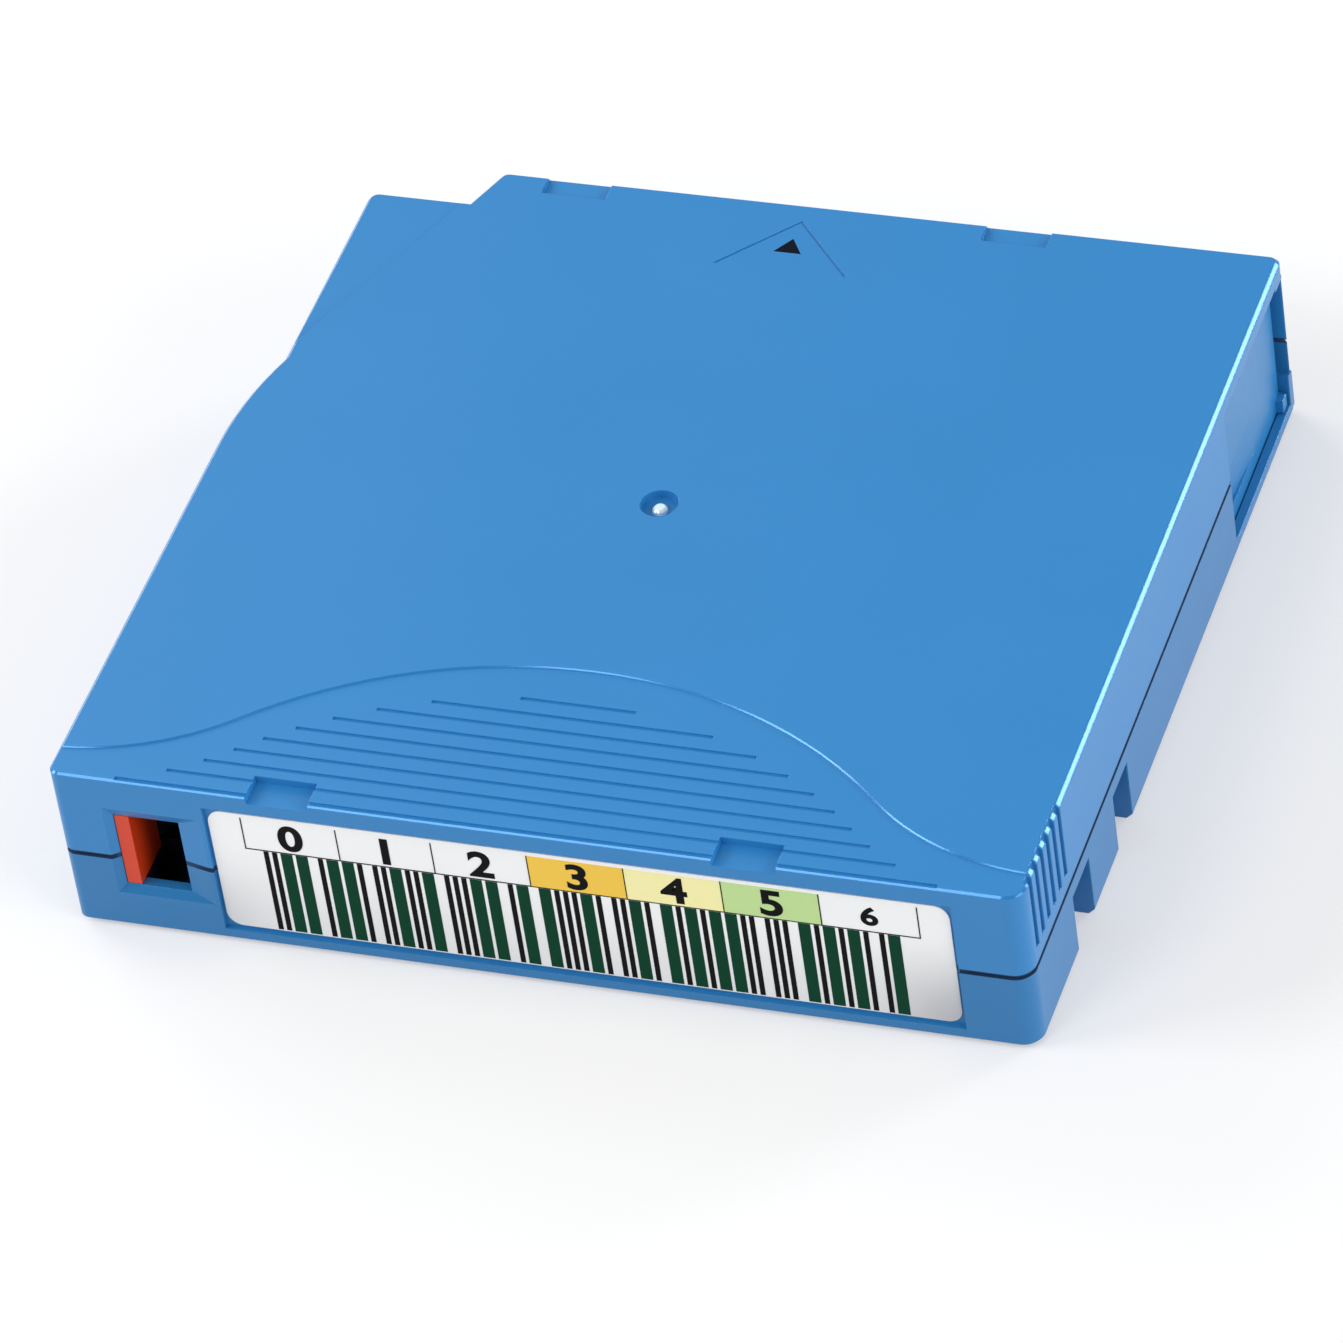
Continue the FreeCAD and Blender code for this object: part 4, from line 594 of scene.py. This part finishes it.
# %% Dress every node
NODE_FINISH = {
    "bottom_shell": "case_blue_lower_shaded",
    "top_shell": "case_blue",
    "sliding_door": "door_blue_shaded",
    "front_label": "label_paper",
    "write_protect_tab": "switch_red",
    "case_screws": "screw_steel",
    "memory_board": "board_green",
    "memory_chip": "chip_black",
    "reel_hub": "reel_white",
    "reel_top_flange": "flange_clear",
    "reel_plate": "disc_steel",
    "tape_pack": "tape_film",
    "tape_leader": "tape_film",
    "brake_button": "brake_white",
    "brake_spring": "spring_steel",
    "door_spring": "spring_steel",
    "pin_spring": "spring_steel",
    "release_spider": "spider_grey",
    "leader_pin": "pin_steel",
    "tape_clip": "clip_black",
}
for name, node in frame["nodes"].items():
    finish = finishes[NODE_FINISH[name]]
    if not node.material_slots:
        node.data.materials.append(finish.material)
    for slot in node.material_slots:
        slot.material = finish.material
print("dressed", len(NODE_FINISH), "nodes")

# %% [markdown]
# ## Spring copies on the case
#
# Two coil springs are squeezed when their parts move: the brake's by the button that a drive pushes up, and
# the door's by the door. A real coil closes up between its two ends, and a rigid one would stand in the way.
# So each is shown by a copy that rides on the case, and the rigid one is hidden. The copy keeps its full
# length as its joint moves. The record says which end of each is fixed.

# %% Springs
def springy(joint):
    """Copies of the springs of one joint, fixed to the case, which stand in for the hidden springs."""
    for spring in joint["deforming_nodes"]:
        node = frame["nodes"][spring["node"]]
        low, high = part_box(spring["node"])
        letter = spring["mode"][-1]
        number = "xyz".index(letter)
        anchor = (low + high) / 2
        anchor[number] = spring[f"fixed_end_{letter}_m"]
        coil = bpy.data.objects.new(spring["node"] + "_coil", node.data.copy())
        bpy.context.scene.collection.objects.link(coil)
        coil.matrix_world = node.matrix_world.copy()
        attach(coil, "case")
        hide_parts(spring["node"])
        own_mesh(coil)


for joint in frame["record"]["behaviour"]["joints"]:
    if "deforming_nodes" in joint:
        springy(joint)

# %% [markdown]
# ## Print on the label
#
# A library label has a row of seven cells, one for each character, so that people and robots can read it,
# and a field of bars under it. Print is a film of ink a few hundredths of a millimetre thick. It could be
# painted in the label's material, but its edges would then be only as sharp as the picture that an export
# bakes. So each colour is one mesh of thin plates on the label's face, and its edges stay sharp at any size.

# %% The label's face
label_low, label_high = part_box("front_label")
FACE = label_low.y
INK = 0.02 * MM
print("label face:", [round(v / MM, 1) for v in label_high - label_low], "mm")


def print_plates(name, plates, ink, layer=1):
    """One mesh of thin plates on the label. A plate is left, right, bottom, top in metres."""
    form = bmesh.new()
    front = FACE - INK * layer
    for left, right, bottom, top in plates:
        near = [form.verts.new((x, front, z)) for x, z in
                ((left, bottom), (right, bottom), (right, top), (left, top))]
        far = [form.verts.new((v.co.x, FACE, v.co.z)) for v in near]
        form.faces.new(near)
        form.faces.new(far[::-1])
        for here in range(4):
            there = (here + 1) % 4
            form.faces.new((near[there], near[here], far[here], far[there]))
    lay_down(name, form, ink)


def lay_down(name, form, ink):
    """Turns a bmesh into a piece that rides on the case."""
    bmesh.ops.recalc_face_normals(form, faces=form.faces)
    mesh = bpy.data.meshes.new(name)
    form.to_mesh(mesh)
    form.free()
    mesh.materials.append(finishes[ink].material)
    piece = bpy.data.objects.new(name, mesh)
    bpy.context.scene.collection.objects.link(piece)
    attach(piece, "case")


# %% [markdown]
# ## The row of cells
#
# The cells stand side by side along the top of the label. Three of them have a colour, so that a wrong
# cartridge stands out on a shelf from across the room. Thin rules part the cells and close them
# below. The colours come first and the rules lie over them, as a printer lays a light ink before a dark one.

# %% Cells and rules
CELL_LEFT = label_low.x + 3.7 * MM
CELL_PITCH = 10.44 * MM
CELL_COUNT = 7
CELL_BOTTOM = label_low.z + 11.4 * MM
CELL_TOP = label_low.z + 15.7 * MM
RULE = 0.12 * MM
CELL_INKS = {3: "ink_amber", 4: "ink_cream", 5: "ink_lime"}

cell_edges = [CELL_LEFT + number * CELL_PITCH for number in range(CELL_COUNT + 1)]
for number, ink in CELL_INKS.items():
    field = (cell_edges[number], cell_edges[number + 1], CELL_BOTTOM, CELL_TOP)
    print_plates(f"label_field_{number + 1}", [field], ink)
rules = [(x - RULE / 2, x + RULE / 2, CELL_BOTTOM, CELL_TOP) for x in cell_edges]
rules.append((cell_edges[0] - RULE / 2, cell_edges[-1] + RULE / 2,
              CELL_BOTTOM - RULE / 2, CELL_BOTTOM + RULE / 2))
print_plates("label_rules", rules, "ink_black", layer=2)
print("cells:", CELL_COUNT, "from", round(CELL_LEFT / MM, 1), "to", round(cell_edges[-1] / MM, 1), "mm")

# %% [markdown]
# ## The bars
#
# A bar code is a row of upright bars, some narrow and some over twice as wide, with gaps of both kinds. This
# one says nothing: its widths come from a random draw with a fixed seed, so they are the same on each run.
# Each sign has five bars, and a narrow gap parts it from the next, which gives the rhythm that an eye knows.

# %% Bars
BAR_LEFT = label_low.x + 5.65 * MM
BAR_RIGHT = label_low.x + 74.55 * MM
BAR_BOTTOM = label_low.z + 0.15 * MM
BAR_GAIN = 0.05 * MM
BAR_TOP = CELL_BOTTOM - 0.12 * MM
SIGNS = 10
WIDE = 2.6
draw = random.Random(6)

runs = []
for sign in range(SIGNS):
    bars = [WIDE, WIDE, 1.0, 1.0, 1.0]
    gaps = [WIDE, 1.0, 1.0, 1.0]
    draw.shuffle(bars)
    draw.shuffle(gaps)
    runs += [width for pair in zip(bars, gaps + [1.0]) for width in pair]
runs = runs[:-1]
unit = (BAR_RIGHT - BAR_LEFT) / sum(runs)
narrow, broad, x = [], [], BAR_LEFT
for number, run in enumerate(runs):
    if number % 2 == 0:
        bar = (x - BAR_GAIN, x + run * unit + BAR_GAIN, BAR_BOTTOM, BAR_TOP)
        (broad if run > 1 else narrow).append(bar)
    x += run * unit
print_plates("label_bars_narrow", narrow, "ink_black")
print_plates("label_bars_broad", broad, "ink_green")
print("bars:", len(narrow), "narrow and", len(broad), "broad, unit", round(unit / MM, 3), "mm")

# %% [markdown]
# ## The digits
#
# The cells hold plain digits that count up, in a bold upright face. They could be drawn by hand as outlines.
# Blender's own font has good digits, so each is a text object with a little weight added by its offset. It
# is then turned into a mesh, scaled to the height of the print and stood in the middle of its cell. The last
# one is smaller than the others.

# %% Digits
DIGIT_HEIGHT = 3.6 * MM
DIGIT_STRETCH = 1.15
LAST_SCALE = 0.72
DIGIT_WEIGHT = 0.03
DIGIT_DEPTH = 0.01
WELD = 0.0005 * MM


def digit_mesh(sign, height, centre):
    """A digit as a thin solid that stands on the label, with its middle at centre (x, z)."""
    words = bpy.data.curves.new("digit", "FONT")
    words.body = sign
    words.offset = DIGIT_WEIGHT
    words.extrude = DIGIT_DEPTH
    holder = bpy.data.objects.new("digit", words)
    bpy.context.scene.collection.objects.link(holder)
    scene_state = bpy.context.evaluated_depsgraph_get()
    mesh = bpy.data.meshes.new_from_object(holder.evaluated_get(scene_state))
    low = Vector([min(v.co[i] for v in mesh.vertices) for i in range(3)])
    high = Vector([max(v.co[i] for v in mesh.vertices) for i in range(3)])
    scale = height / (high.y - low.y)
    middle = (low + high) / 2
    for vertex in mesh.vertices:
        across = (vertex.co.x - middle.x) * scale * DIGIT_STRETCH
        up = (vertex.co.y - middle.y) * scale
        out = FACE - 2 * INK if vertex.co.z > middle.z else FACE
        vertex.co = (centre[0] + across, out, centre[1] + up)
    bpy.data.objects.remove(holder)
    bpy.data.curves.remove(words)
    return mesh


# %% Digits on the label
form = bmesh.new()
for number in range(CELL_COUNT):
    height = DIGIT_HEIGHT * (LAST_SCALE if number == CELL_COUNT - 1 else 1)
    centre = ((cell_edges[number] + cell_edges[number + 1]) / 2, (CELL_BOTTOM + CELL_TOP) / 2)
    mesh = digit_mesh(str(number), height, centre)
    form.from_mesh(mesh)
    bpy.data.meshes.remove(mesh)
bmesh.ops.remove_doubles(form, verts=form.verts, dist=WELD)
print("digit faces:", len(form.faces))
lay_down("label_digits", form, "ink_black")

# %% [markdown]
# ## The table and the backdrop
#
# The cartridge stands on a plain white table that runs well past the view. The camera has to see it
# white, but lamps strong enough to do that would also bleach the part. So the table's material glows a
# little for the camera and for reflections alone, and keeps its matt share for everything else, which is
# where the part's soft shadow shows.

# %% Table
TABLE_HALF = 0.7
TABLE_GLOW = 0.33
TABLE_GAP = 0.05 * MM
TABLE_CLOUD = 0.2
TABLE_DARK = (0.57, 0.59, 0.61, 1.0)
TABLE_PALE = (0.59, 0.61, 0.63, 1.0)
GLOW_COLOUR = (1.06, 1.0, 0.945, 1.0)
BLACK = (0.0, 0.0, 0.0, 1.0)

table = Finish("table_white")
paths = [table.node("ShaderNodeLightPath", {}, {}, output=name)
         for name in ("Is Camera Ray", "Is Glossy Ray", "Is Transmission Ray")]
sockets = {0: paths[0] + paths[1], 1: paths[2]}
seen = table.node("ShaderNodeMath", {"operation": "ADD", "use_clamp": True}, sockets)
mottle = noise(table, place(table), TABLE_CLOUD)
table.coat({
    "Base Color": blend(table, mottle, TABLE_DARK, TABLE_PALE),
    "Roughness": 0.9,
    "Specular IOR Level": 0.0,
    "Emission Color": blend(table, seen, BLACK, GLOW_COLOUR),
    "Emission Strength": TABLE_GLOW,
})
form = bmesh.new()
bmesh.ops.create_grid(form, x_segments=1, y_segments=1, size=TABLE_HALF)
mesh = bpy.data.meshes.new("table")
form.to_mesh(mesh)
form.free()
mesh.materials.append(table.material)
floor = bpy.data.objects.new("table", mesh)
bpy.context.scene.collection.objects.link(floor)
floor.location.z = cad_box[0].z - TABLE_GAP
print("table half width:", TABLE_HALF, "m")

# %% [markdown]
# ## The light
#
# A studio lights such a thing with large soft boxes, so that its shadows have no hard edge. Six stand round
# it here. The one at the right is the strongest, so the door side is the brightest. The ones behind and at
# the left stand where the rims and the edge of the thumb area mirror them towards the camera, which draws
# the bright lines. A small strong lamp would do that too, but in a low view it would burn the lid out. The
# room itself is an even pale grey, and white where the camera looks straight at it.

# %% Soft boxes and the room
LAMPS = {
    "overhead_box": ((0.25, -0.1, 1.2), 0.9, 1.6),
    "back_left_box": ((-0.98, 0.62, 0.42), 0.8, 8.6),
    "back_right_box": ((0.8, 0.82, 0.37), 0.34, 3.9),
    "left_box": ((-0.98, -0.4, 0.56), 0.5, 6.0),
    "front_box": ((-0.36, -0.79, 0.82), 0.4, 2.6),
    "right_box": ((1.15, -0.35, 0.4), 0.9, 9.6),
}
ROOM_LEVEL = 0.38


def soft_box(name, stand, size, power):
    """A square area lamp aimed at the part."""
    lamp = bpy.data.lights.new(name, "AREA")
    lamp.shape = "SQUARE"
    lamp.size = size
    lamp.energy = power
    holder = bpy.data.objects.new(name, lamp)
    bpy.context.scene.collection.objects.link(holder)
    holder.location = stand
    holder.rotation_euler = (-Vector(stand)).to_track_quat("-Z", "Y").to_euler()


for name, values in LAMPS.items():
    soft_box(name, *values)

world = bpy.data.worlds.new("room")
bpy.context.scene.world = world
world.use_nodes = True
nodes, links = world.node_tree.nodes, world.node_tree.links
background = nodes["Background"]
background.inputs["Color"].default_value = (1.0, 1.0, 1.0, 1.0)
path = nodes.new("ShaderNodeLightPath")
seen = nodes.new("ShaderNodeMath")
seen.operation = "MAXIMUM"
links.new(path.outputs["Is Camera Ray"], seen.inputs[0])
links.new(path.outputs["Is Transmission Ray"], seen.inputs[1])
level = nodes.new("ShaderNodeMapRange")
level.inputs["To Min"].default_value = ROOM_LEVEL
level.inputs["To Max"].default_value = 1.0
links.new(seen.outputs[0], level.inputs["Value"])
links.new(level.outputs[0], background.inputs["Strength"])
bpy.context.scene.view_settings.view_transform = "Standard"
